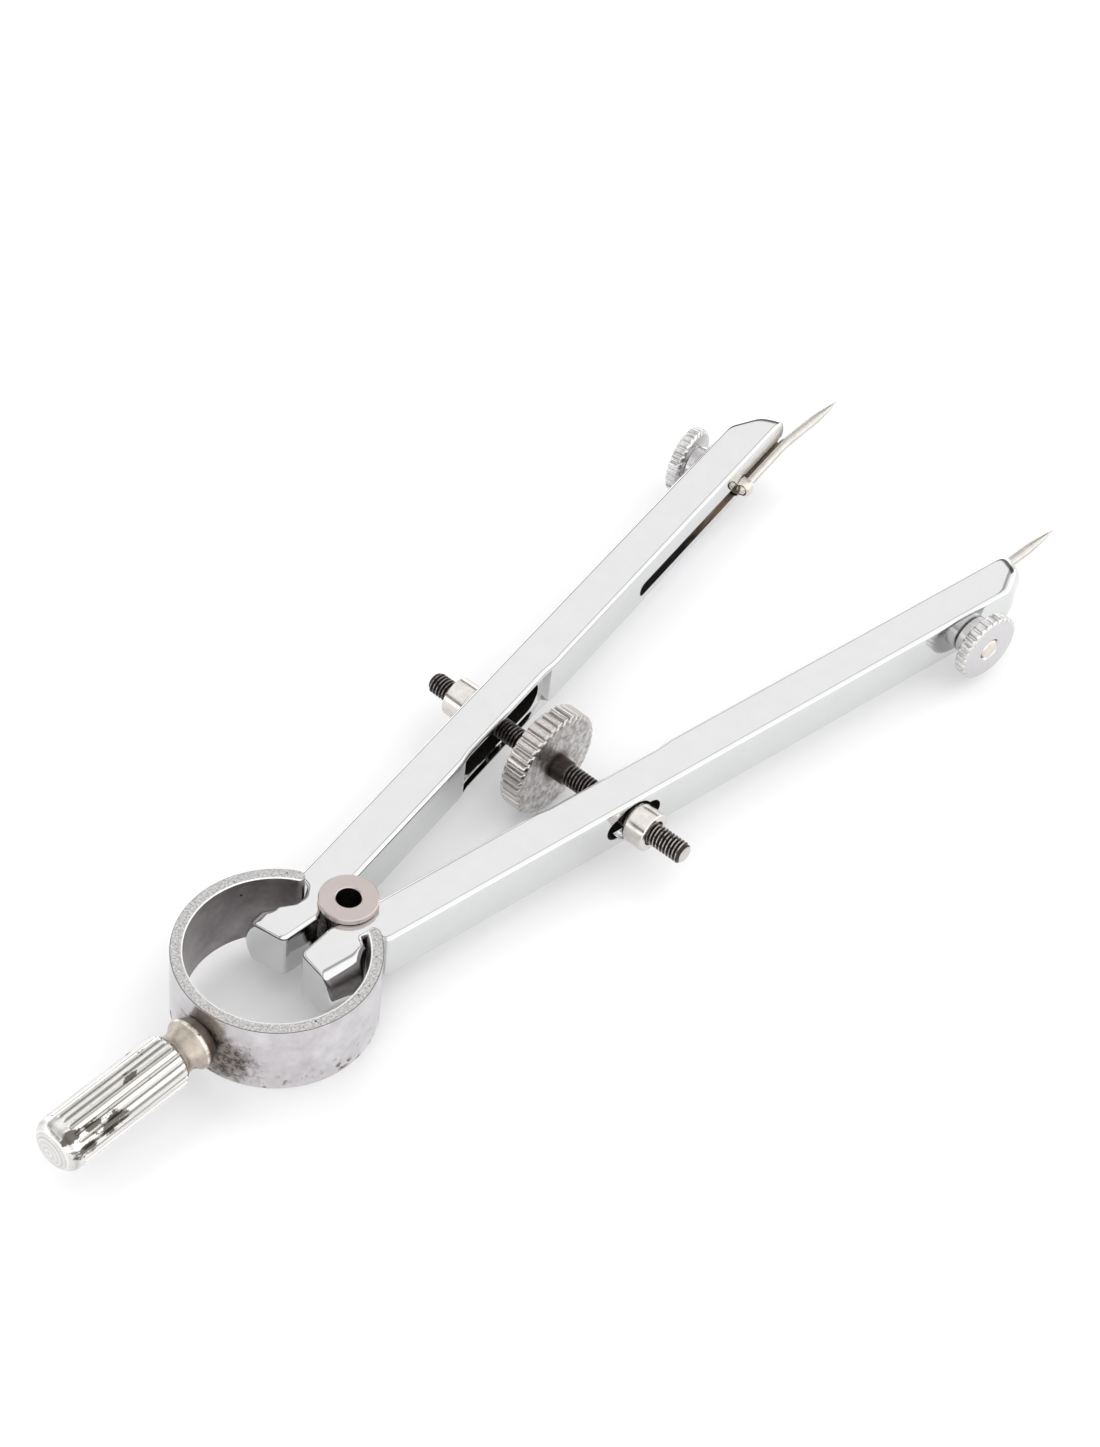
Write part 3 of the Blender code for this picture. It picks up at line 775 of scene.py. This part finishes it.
def needle_steel(side):
    """Drawn steel with fine lengthwise polish and a warm cast."""
    f = Finish("needle_steel")
    lines = f.noise(0.16, detail=4.0, place=f.along_leg(side, (1.0, 0.05, 1.0)))
    haze = f.noise(1.4, detail=4.0)
    tone = f.mix(haze, (0.36, 0.34, 0.315), (0.66, 0.63, 0.59))
    f.colour(f.mix(f.math("MULTIPLY", lines, 0.4), tone, (0.86, 0.82, 0.75)))
    f.roughness(lines, 0.14, 0.2)
    f.bump(lines, 0.006)
    return f.material


# ---------------------------------------------------------------- spring ring


def ring_stations():
    """Points along the right half of the band, from the stem to the hooked end.

    Each is (x, y, outward x, outward y, share of the wall's thickness).
    """
    mean = RING_RADIUS - 0.5 * RING_WALL
    rear = -0.5 * math.pi
    first = 0.5 * math.pi - RING_ARC_START
    last = first + HOOK_TURN
    bend = Vector((0.0, RING_CENTRE_Y)) + Vector((math.cos(first), math.sin(first))) * (
        mean - HOOK_RADIUS
    )
    span = first - rear
    turns = [rear, rear + 0.002] + [rear + span * i / BAND_STEPS for i in range(1, BAND_STEPS)]
    stations = []
    for angle in turns:
        out = Vector((math.cos(angle), math.sin(angle)))
        stations.append((*(Vector((0.0, RING_CENTRE_Y)) + out * mean), *out, 1.0))
    for i in range(HOOK_STEPS + 1):
        angle = first + HOOK_TURN * i / HOOK_STEPS
        out = Vector((math.cos(angle), math.sin(angle)))
        stations.append((*(bend + out * HOOK_RADIUS), *out, 1.0))
    end = Vector(stations[-1][:2])
    out = Vector((math.cos(last), math.sin(last)))
    ahead = Vector((-out.y, out.x))
    for i in range(1, END_STEPS + 1):
        turn = 0.5 * math.pi * i / END_STEPS
        reach = 0.5 * RING_WALL * math.sin(turn)
        stations.append((*(end + ahead * reach), *out, max(0.06, math.cos(turn))))
    return stations


def build_ring(materials):
    """Both halves of the ring: each bends from the stem to the leg that it grips."""
    low, high = box_mm("spring_ring")
    half_height = 0.5 * (high.z - low.z)
    half_wall = 0.5 * RING_WALL
    section = rounded([
        (half_wall, -half_height, RIM_ROUNDING), (half_wall, half_height, RIM_ROUNDING),
        (-half_wall, half_height, RIM_ROUNDING), (-half_wall, -half_height, RIM_ROUNDING),
    ], steps=3)
    for name, side in SIDES:
        rings = []
        for x, y, out_x, out_y, share in ring_stations():
            shaped = [(w * share, z) for w, z in section]
            rings.append([(side * (x + out_x * w), y + out_y * w, z) for w, z in shaped])
        half = new_object(f"spring_ring_{name}_half", lofted(rings))
        for polygon in half.data.polygons:
            polygon.material_index = ring_zone(polygon, half_height)
        finish_piece(half, about_pivot(), materials, None, None, 50.0)
        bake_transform(half)
        if side > 0:
            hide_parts("spring_ring")


def ring_zone(polygon, half_height):
    """0 on the outer band, 1 on the inner wall and 2 on the rims."""
    middle = Vector(polygon.center)
    if abs(middle.z) > half_height - 0.5 * RIM_ROUNDING:
        return 2
    outward = Vector((middle.x, middle.y - RING_CENTRE_Y, 0))
    return 0 if polygon.normal.dot(outward) > 0 else 1


# ---------------------------------------------------------------- handle and roller


def build_stem(material):
    low, high = box_mm("handle_stem")
    ring_rear = RING_RADIUS - RING_CENTRE_Y
    grip_front = -box_mm("handle_grip")[1].y
    neck = 0.5 * (ring_rear + grip_front) - 0.55
    profile = [
        (0.2, -high.y), (1.3, -high.y), (1.9, -high.y + 0.25), (2.05, -high.y + 0.6),
        (2.05, ring_rear - RING_WALL), (1.4, ring_rear - RING_WALL), (1.4, ring_rear - 0.1),
        (2.7, ring_rear + 0.02), (2.9, ring_rear + 0.5), (3.15, neck - 0.5),
        (3.27, neck - 0.18), (3.27, neck + 0.1), (3.05, neck + 0.35), (2.7, neck + 0.8),
        (2.5, neck + 1.35), (2.48, neck + 1.8), (2.62, neck + 2.3), (2.95, grip_front + 0.05),
        (1.3, grip_front + 0.05), (1.3, -low.y), (0.2, -low.y),
    ]
    stem = new_object("handle_stem_visual", turned(profile, 64, "-Y"))
    soften(stem, 0.08)
    finish_piece(stem, about_pivot(), [material], "head", ["handle_stem"])


def build_grip(material):
    """Fluted grip: ridges fade into a chamfer at the neck and into the dome."""
    low, high = box_mm("handle_grip")
    front, end = -high.y, -low.y
    radius = GRIP_RADIUS
    sections = [
        (front, 2.75, 0.0), (front + 0.12, 2.95, 0.05), (front + 0.55, radius, 0.85),
        (front + 0.9, radius, 1.0), (end - 2.9, radius, 1.0), (end - 2.5, radius, 0.75),
        (end - 2.25, radius - 0.02, 0.0),
    ]
    for i in range(12):
        turn = 0.5 * math.pi * i / 12
        along = end - DOME_LENGTH + DOME_LENGTH * math.sin(turn)
        sections.append((along, 0.4 + (radius - 0.45) * math.cos(turn) ** 0.8, 0.0))
    sections.append((end, 0.15, 0.0))
    rings = []
    for along, reach, fluted in sections:
        points = knurl(reach, FLUTE_DEPTH * fluted, GRIP_FLUTES, flat=0.24, root=0.38, rounding=0.02)
        rings.append([(u, -along, v) for u, v in points])
    grip = new_object("handle_grip_visual", lofted(rings))
    soften(grip, 0.05, angle=25.0)
    finish_piece(grip, about_pivot(), [material], "head", ["handle_grip"], 35.0)


def build_roller(face, bore, waist):
    top = box_mm("pivot_roller")[1].z - 0.35
    under = top - FLANGE_THICKNESS
    bore_edge = BORE_RADIUS + FLANGE_EDGE
    rim_edge = FLANGE_RADIUS - FLANGE_EDGE
    half = [
        (BORE_RADIUS, top - FLANGE_EDGE), (bore_edge, top), (rim_edge, top),
        (FLANGE_RADIUS, top - FLANGE_EDGE), (FLANGE_RADIUS, under + FLANGE_EDGE),
        (rim_edge, under), (WAIST_RADIUS, under),
    ]
    profile = half + [(radius, -z) for radius, z in reversed(half)]
    roller = new_object("pivot_roller_visual", turned(profile, 96, "Z", closed=True))
    for polygon in roller.data.polygons:
        # bore faces take the painted bore shade
        if Vector(polygon.center).xy.length < BORE_RADIUS + 0.03:
            polygon.material_index = 1
        # waist and flange undersides take the painted waist shade
        elif abs(polygon.center.z) < under + 0.05:
            polygon.material_index = 2
    finish_piece(
        roller, about_pivot(), [face, bore, waist], "roller", ["pivot_roller"], 30.0
    )


# ---------------------------------------------------------------- legs


def leg_outline(side, swell):
    """Clockwise (across, along) outline; swell is 0 at the faces and 1 halfway between."""
    seat_angle = math.acos(LEG_INNER / SEAT_RADIUS)
    low, high = POCKET_ENDS
    side_across = HEAD_OUTER + HEAD_SWELL * swell
    head = rounded([
        (side_across, -7.4, 0.0), (side_across, HEAD_END, 1.0), (HEAD_TAPER_INNER, HEAD_END, 1.1),
        (LEG_INNER + 0.03, HEAD_TAPER_START, 1.2), (LEG_INNER, -3.2, 0.0),
    ])[1:-1]
    seat = arc((0, 0), SEAT_RADIUS, -seat_angle, seat_angle, 20)
    inner = [
        (LEG_INNER, low), (POCKET_FLOOR, low + POCKET_RUNOUT),
        (POCKET_FLOOR, high - POCKET_RUNOUT), (LEG_INNER, high),
    ]
    tip = rounded([
        (LEG_INNER, 95.0, 0.0), (LEG_INNER, TIP_INNER_ALONG + 0.4, 1.6),
        (LEG_INNER + 3.1, TIP_INNER_ALONG - 0.7, 3.0),
        (LEG_OUTER, TIP_OUTER_ALONG, 3.2), (LEG_OUTER, 92.0, 0.0),
    ], steps=10)[1:-1]
    tip = [(across, along + TIP_BULGE * swell) for across, along in tip]
    notch = rounded([
        (LEG_OUTER, 4.0, 0.0), (LEG_OUTER, 0.3, 1.0), *NOTCHES[side], (HEAD_OUTER, -7.0, 0.0),
    ])[1:-1]
    start, full = HEAD_SHOULDERS[side]
    shoulder = []
    for k in range(1, SHOULDER_STEPS + 1):
        share = k / SHOULDER_STEPS
        eased = share * share * (3 - 2 * share)
        along = start + (full - start) * share
        shoulder.append((HEAD_OUTER + HEAD_SWELL * swell * eased, along))
    return head + seat + inner + tip + notch + shoulder


def leg_body(side):
    """Stack of outlines with filleted edges and a bullnose tip."""
    steps = 6
    fillet = []
    for i in range(steps + 1):
        turn = 0.5 * math.pi * i / steps
        fillet.append((LEG_FILLET * (1 - math.sin(turn)), LEG_FILLET * (1 - math.cos(turn))))
    lower = [(-LEG_HALF_HEIGHT + drop, width) for width, drop in fillet]
    straight = 0.5 * (LEG_HALF_HEIGHT - LEG_FILLET)
    heights = lower + [(z * straight, 0.0) for z in (-1.4, -0.7, 0.04, 0.76, 1.43)]
    heights += [(-z, width) for z, width in reversed(lower)]
    rings = []
    for z, edge in heights:
        swell = math.sqrt(1.0 - (z / LEG_HALF_HEIGHT) ** 2)
        outline = inset(leg_outline(side, swell), edge)
        rings.append([(side * across, along, z) for across, along in outline])
    return lofted(rings)


def across_cutter(side, outline, near, far):
    rings = [[(side * across, along, z) for along, z in outline] for across in (near, far)]
    return lofted(rings)


def groove_outline(low, high, centre, half_height):
    """Long slot with one round end, as (along, height) points."""
    blind = arc((low + half_height, centre), half_height, 0.5 * math.pi, 1.5 * math.pi, 11)
    return [(high, centre + half_height)] + blind + [(high, centre - half_height)]


def build_leg(name, side, plate, hollow, groove):
    piece = f"{name}_leg"
    leg = new_object(f"{piece}_visual", leg_body(side))
    beyond = LEG_OUTER + 1.0
    relief_centre = 0.5 * sum(RELIEF_ENDS)
    relief_half = 0.5 * (RELIEF_ENDS[1] - RELIEF_ENDS[0])
    relief = stadium(relief_centre, relief_half, RELIEF_HALF_HEIGHT, 13)
    slot = stadium(NUT_ALONG, SLOT_HALF_LENGTH, SLOT_HALF_HEIGHT, 13)
    seat = arc((NUT_ALONG, 0.0), NUT_SEAT_RADIUS, 0.05, 2 * math.pi + 0.05, 44)[:-1]
    recess_rings = []
    for across, change in ((0.6, RECESS_SLOPE), (RECESS_FLOOR, -RECESS_SLOPE)):
        first = RELIEF_ENDS[0] - 1.2 - change
        last = RELIEF_ENDS[1] + 1.6 + change
        top = RECESS_HALF_HEIGHT + 0.2 * change
        corners = ((first, -top), (last, -top), (last, top), (first, top))
        recess_rings.append([(side * across, along, z) for along, z in corners])
    channel = groove_outline(*GROOVE_ENDS, CLAMP_HEIGHT, GROOVE_HALF_HEIGHT)
    hole = circle((CLAMP_ALONG, CLAMP_HEIGHT), BOLT_HOLE_RADIUS, 32)
    carve(leg, [
        (0, lofted(recess_rings)),
        # index 1 in the relief, slot and bolt hole takes the painted slot shade
        (1, across_cutter(side, relief, 0.6, RELIEF_FLOOR)),
        (1, across_cutter(side, slot, RELIEF_FLOOR - 1.0, beyond)),
        (0, across_cutter(side, seat, LEG_OUTER - NUT_SEAT_DEPTH, beyond)),
        # the groove takes painted shade at its blind end and bronze towards the needle
        (2, across_cutter(side, channel, 0.7, GROOVE_FLOOR)),
        (1, across_cutter(side, hole, 0.8, beyond)),
    ])
    soften(leg, 0.1, angle=32.0)
    finish_piece(leg, about_leg(side), [plate, hollow, groove], piece, [piece], 35.0)


# ---------------------------------------------------------------- screw, wheel and nuts


def threaded_rod(start, end, hand):
    """Rod along X whose thread is a true helix, right-handed for hand 1."""
    profile = ((0.0, THREAD_MINOR), (0.14, THREAD_MINOR), (0.42, THREAD_MAJOR), (0.62, THREAD_MAJOR))
    around = 36
    turns = int((end - start) / THREAD_PITCH) + 4
    rings = []
    for turn in range(-1, turns):
        for share, radius in profile:
            ring = []
            for k in range(around + 1):
                angle = 2 * math.pi * k / around
                x = start + THREAD_PITCH * (turn - 1 + share + hand * k / around)
                inside = min(max(x, start), end)
                limit = THREAD_MINOR - 0.12 + 0.9 * min(inside - start, end - inside)
                reach = min(radius, limit)
                ring.append((inside, reach * math.cos(angle), reach * math.sin(angle)))
            rings.append(ring)
    bm = bmesh.new()
    rows = [[bm.verts.new(point) for point in ring] for ring in rings]
    for lower, upper in zip(rows, rows[1:]):
        for k in range(around):
            bm.faces.new((lower[k], lower[k + 1], upper[k + 1], upper[k]))
    bmesh.ops.remove_doubles(bm, verts=bm.verts, dist=1e-4)
    bmesh.ops.dissolve_degenerate(bm, dist=1e-5, edges=bm.edges)
    bmesh.ops.holes_fill(bm, edges=[e for e in bm.edges if e.is_boundary])
    return bm


def build_screw(material):
    """The screw's right-hand and left-hand halves and the plain shank between them."""
    low, high = box_mm("adjusting_screw")
    wheel_start = box_mm("adjusting_wheel")[0].x
    right = threaded_rod(SHANK_END - 0.4, high.x, 1)
    left = threaded_rod(low.x, wheel_start + 0.6, -1)
    start = wheel_start + 0.2
    shank = turned(
        [(0.1, start), (SHANK_RADIUS, start), (SHANK_RADIUS, SHANK_END - 0.25),
         (1.4, SHANK_END), (0.1, SHANK_END)], 48, "X",
    )
    bm = bmesh.new()
    for part in (right, left, shank):
        mesh = bpy.data.meshes.new("part")
        part.to_mesh(mesh)
        part.free()
        bm.from_mesh(mesh)
        bpy.data.meshes.remove(mesh)
    screw = new_object("adjusting_screw_visual", bm)
    matrix = about_pivot() @ Matrix.Translation((0, SCREW_Y, 0))
    finish_piece(screw, matrix, [material], "wheel", ["adjusting_screw"], 50.0)


def knurled_disc(stations, teeth, axis_sign=1.0):
    """Disc along X from (x, radius, tooth depth) stations."""
    rings = []
    for x, reach, depth in stations:
        points = knurl(reach, depth, teeth)
        rings.append([(axis_sign * x, u, v) for u, v in points])
    return lofted(rings)


def build_wheel(face, teeth_metal):
    low, high = box_mm("adjusting_wheel")
    radius = 0.5 * (high.z - low.z)
    inner = radius - 0.6
    stations = (
        (low.x, 0.3, 0.0), (low.x, inner - 0.3, 0.0), (low.x + 0.04, inner, 0.0),
        (low.x + 0.22, radius - 0.08, 0.42), (low.x + 0.4, radius, 0.48),
        (high.x - 0.4, radius, 0.48), (high.x - 0.22, radius - 0.08, 0.42),
        (high.x - 0.04, inner, 0.0), (high.x, inner - 0.3, 0.0), (high.x, 0.3, 0.0),
    )
    wheel = new_object("adjusting_wheel_visual", knurled_disc(stations, WHEEL_TEETH))
    for polygon in wheel.data.polygons:
        reach = Vector(polygon.center).yz.length
        polygon.material_index = 0 if reach < inner else 1
    soften(wheel, 0.05, angle=28.0)
    matrix = about_pivot() @ Matrix.Translation((0, SCREW_Y, 0))
    finish_piece(wheel, matrix, [face, teeth_metal], "wheel", ["adjusting_wheel"], 32.0)


def build_swivel_nut(name, side, material, bore):
    piece = f"{name}_swivel_nut"
    profile = [
        (THREAD_MAJOR, 0.15), (1.95, 0.2), (2.4, 0.38), (NUT_RADIUS, 0.75),
        (NUT_RADIUS, NUT_LENGTH - 0.12), (NUT_RADIUS - 0.12, NUT_LENGTH),
        (THREAD_MAJOR + 0.3, NUT_LENGTH), (THREAD_MAJOR, NUT_LENGTH - 0.3),
    ]
    axis = "X" if side > 0 else "-X"
    nut = new_object(f"{piece}_visual", turned(profile, 64, axis, closed=True))
    # bore faces take the painted bore shade
    for polygon in nut.data.polygons:
        if Vector(polygon.center).yz.length < THREAD_MAJOR + 0.2:
            polygon.material_index = 1
    matrix = about_pivot() @ Matrix.Translation((side * SWIVEL.x, SWIVEL.y, 0))
    finish_piece(nut, matrix, [material, bore], piece, [piece], 35.0)


def build_clamp_nut(name, side, face, teeth_metal):
    piece = f"{name}_clamp_nut"
    hub, head, end = CLAMP_STATIONS
    radius = CLAMP_RADIUS
    stations = (
        (hub, STUD_RADIUS + 0.1, 0.0), (hub, 2.6, 0.0), (hub + 0.15, 2.8, 0.0),
        (head - 0.1, 2.8, 0.0), (head, 2.95, 0.0), (head, radius - 0.5, 0.0),
        (head + 0.3, radius, 0.3), (end - 0.3, radius, 0.3), (end - 0.04, radius - 0.42, 0.0),
        (end, radius - 0.6, 0.0), (end, STUD_RADIUS + 0.32, 0.0),
        (end - 0.25, STUD_RADIUS + 0.08, 0.0), (end - 1.0, STUD_RADIUS + 0.05, 0.0),
    )
    nut = new_object(f"{piece}_visual", knurled_disc(stations, CLAMP_TEETH, side))
    for polygon in nut.data.polygons:
        reach = Vector(polygon.center).yz.length
        polygon.material_index = 1 if reach > radius - 0.35 else 0
    soften(nut, 0.045, angle=28.0)
    matrix = about_leg(side) @ Matrix.Translation((0, CLAMP_ALONG, CLAMP_HEIGHT))
    finish_piece(nut, matrix, [face, teeth_metal], piece, [piece], 32.0)


def build_eye_bolt(name, side, material):
    """Stud with a domed outer end and an eye that the needle passes through."""
    piece = f"{name}_eye_bolt"
    end = CLAMP_STATIONS[2] + 0.12
    profile = [(0.05, -0.28), (0.6, -0.22), (1.0, 0.0), (1.2, 0.4), (1.25, 0.95), (STUD_RADIUS, 1.7)]
    profile += [(STUD_RADIUS, end - 0.3), (1.25, end - 0.1), (0.8, end), (0.05, end + 0.05)]
    axis = "X" if side > 0 else "-X"
    bolt = new_object(f"{piece}_visual", turned(profile, 48, axis))
    eye = stadium(NEEDLE_ACROSS + 0.25, NEEDLE_RADIUS + 0.45, NEEDLE_RADIUS + 0.15, 9)
    rings = [[(side * x, y, z) for x, z in eye] for y in (-3.0, 3.0)]
    carve(bolt, [(0, lofted(rings))])
    soften(bolt, 0.06)
    matrix = about_leg(side) @ Matrix.Translation((0, CLAMP_ALONG, CLAMP_HEIGHT))
    finish_piece(bolt, matrix, [material], piece, [piece], 35.0)


def build_needle(name, side, material):
    """Shank with a rounded rear end, a soft bend and a long hollow-ground point."""
    piece = f"{name}_needle"
    tip_along, tip_across = NEEDLE_TIP
    slope = (tip_across - NEEDLE_ACROSS) / (tip_along - NEEDLE_BEND)
    softness = 1.2
    rings = []
    stations = [(NEEDLE_REAR, 0.12), (NEEDLE_REAR + 0.1, 0.38), (NEEDLE_REAR + 0.4, NEEDLE_RADIUS)]
    stations += [(NEEDLE_BEND - softness * (1 - k / 4), NEEDLE_RADIUS) for k in range(9)]
    taper = tip_along - NEEDLE_TAPER
    for k in range(17):
        share = k / 16
        stations.append((NEEDLE_TAPER + taper * share, NEEDLE_RADIUS * (1 - share ** 1.7) + 0.015))
    for along, radius in stations:
        past = along - NEEDLE_BEND
        if past > softness:
            bent = past
        else:
            bent = max(0.0, past + softness) ** 2 / (4 * softness)
        across = NEEDLE_ACROSS + slope * bent
        ring = circle((0.0, 0.0), radius, 28)
        rings.append([(side * (across + u), along, v) for u, v in ring])
    needle = new_object(f"{piece}_visual", lofted(rings))
    matrix = about_leg(side) @ Matrix.Translation((0, 0, CLAMP_HEIGHT))
    finish_piece(needle, matrix, [material], piece, [piece], 40.0)


# ---------------------------------------------------------------- stage


def build_floor():
    bm = bmesh.new()
    bmesh.ops.create_grid(bm, x_segments=1, y_segments=1, size=2.0)
    floor = new_object("floor", bm)
    floor.location.z = CAD_BOX[0][2] - 0.0002
    material = bpy.data.materials.new("pale_floor")
    material.use_nodes = True
    shader = material.node_tree.nodes["Principled BSDF"]
    shader.inputs["Base Color"].default_value = (0.86, 0.86, 0.87, 1.0)
    shader.inputs["Roughness"].default_value = 0.6
    shader.inputs["Specular IOR Level"].default_value = 0.2
    shader.inputs["Emission Color"].default_value = (1.0, 1.0, 1.0, 1.0)
    shader.inputs["Emission Strength"].default_value = 0.1
    floor.data.materials.append(material)


def build_sky():
    """Soft white tent, open in a dark band all round and with a bright panel at the right.

    A dark seam beside the panel draws the thin line along the edges of the legs.
    """
    world = bpy.data.worlds.new("tent")
    bpy.context.scene.world = world
    world.use_nodes = True
    sky = Nodes(world.node_tree, "Generated")
    ramp = sky.node("ShaderNodeValToRGB")
    sky.join(sky.axis("Z"), ramp.inputs["Fac"])
    elements = ramp.color_ramp.elements
    elements.remove(elements[1])
    for i, (position, value) in enumerate(SKY_STOPS):
        element = elements.new(position) if i else elements[0]
        element.position = position
        element.color = (value, value, value, 1.0)
    across = sky.axis("X")
    lit = sky.math("MAXIMUM", ramp.outputs["Color"], sky.span(across, *PANEL_FADE, 0.0, PANEL_LEVEL))
    from_seam = sky.math("ABSOLUTE", sky.math("ADD", across, SEAM_PLACE))
    seam = sky.span(from_seam, *SEAM_FADE, SEAM_LEVEL, 1.0)
    background = world.node_tree.nodes["Background"]
    background.inputs["Strength"].default_value = SKY_STRENGTH
    sky.join(sky.math("MULTIPLY", lit, seam), background.inputs["Color"])


def build_light():
    """Softbox high at the back left, which gives the faint shadows their side."""
    data = bpy.data.lights.new("roof_softbox", "AREA")
    data.shape = "SQUARE"
    data.size = 0.7
    data.energy = 1.0
    light = bpy.data.objects.new("roof_softbox", data)
    light.visible_glossy = False
    bpy.context.scene.collection.objects.link(light)
    light.location = SOFTBOX
    light.rotation_euler = (-SOFTBOX).to_track_quat("-Z", "Y").to_euler()


def build_camera():
    data = bpy.data.cameras.new("camera")
    data.lens = LENS
    data.sensor_fit = "HORIZONTAL"
    data.sensor_width = 36.0
    data.clip_start = 0.01
    camera = bpy.data.objects.new("camera", data)
    bpy.context.scene.collection.objects.link(camera)
    forward = Vector((
        -math.sin(VIEW_TURN) * math.cos(VIEW_DOWN),
        math.cos(VIEW_TURN) * math.cos(VIEW_DOWN),
        -math.sin(VIEW_DOWN),
    ))
    right = forward.cross(Vector((0, 0, 1))).normalized()
    up = right.cross(forward)
    rolled_right = right * math.cos(VIEW_ROLL) + up * math.sin(VIEW_ROLL)
    rolled_up = up * math.cos(VIEW_ROLL) - right * math.sin(VIEW_ROLL)
    turn = Matrix((rolled_right, rolled_up, -forward)).transposed().to_4x4()
    place = PIVOT + (AIM - forward * VIEW_DISTANCE) * MM
    camera.matrix_world = Matrix.Translation(place) @ turn
    bpy.context.scene.camera = camera


# ---------------------------------------------------------------- assembly


def build_pieces():
    # painted shade inside the roller's and swivel nuts' bores
    painted_bore_shade = painted_shade_metal("painted_bore_shade", (0.006, 0.005, 0.005), (0.03, 0.026, 0.024), 0.3)
    # painted shade on the roller's waist and under its flanges
    painted_waist_shade = painted_shade_metal("roller_waist_painted_shade", (0.05, 0.045, 0.045), (0.25, 0.23, 0.22), 0.15)
    hollow = painted_slot_shade()
    face_nickel = knurled_metal("clamp_face", (0.52, 0.505, 0.51), (0.70, 0.69, 0.695))
    teeth_nickel = knurled_metal("knurl_nickel", (0.46, 0.45, 0.44), (0.82, 0.81, 0.80))
    wheel_teeth = knurled_metal("wheel_teeth", (0.36, 0.335, 0.32), (0.74, 0.715, 0.70))
    nut_nickel = warm_nickel()
    bolt_brass = brass()
    build_ring([ring_outer_metal(), ring_inner_metal(), ring_rim_metal()])
    build_stem(stem_metal())
    build_grip(grip_metal())
    build_roller(roller_metal(), painted_bore_shade, painted_waist_shade)
    build_screw(thread_metal())
    build_wheel(wheel_face_metal(), wheel_teeth)
    for name, side in SIDES:
        build_leg(name, side, chrome(side), hollow, groove_metal(side))
        build_swivel_nut(name, side, nut_nickel, painted_bore_shade)
        build_clamp_nut(name, side, face_nickel, teeth_nickel)
        build_eye_bolt(name, side, bolt_brass)
        build_needle(name, side, needle_steel(side))


build_pieces()
build_floor()
build_sky()
build_light()
build_camera()
bpy.context.scene.view_settings.view_transform = "Standard"
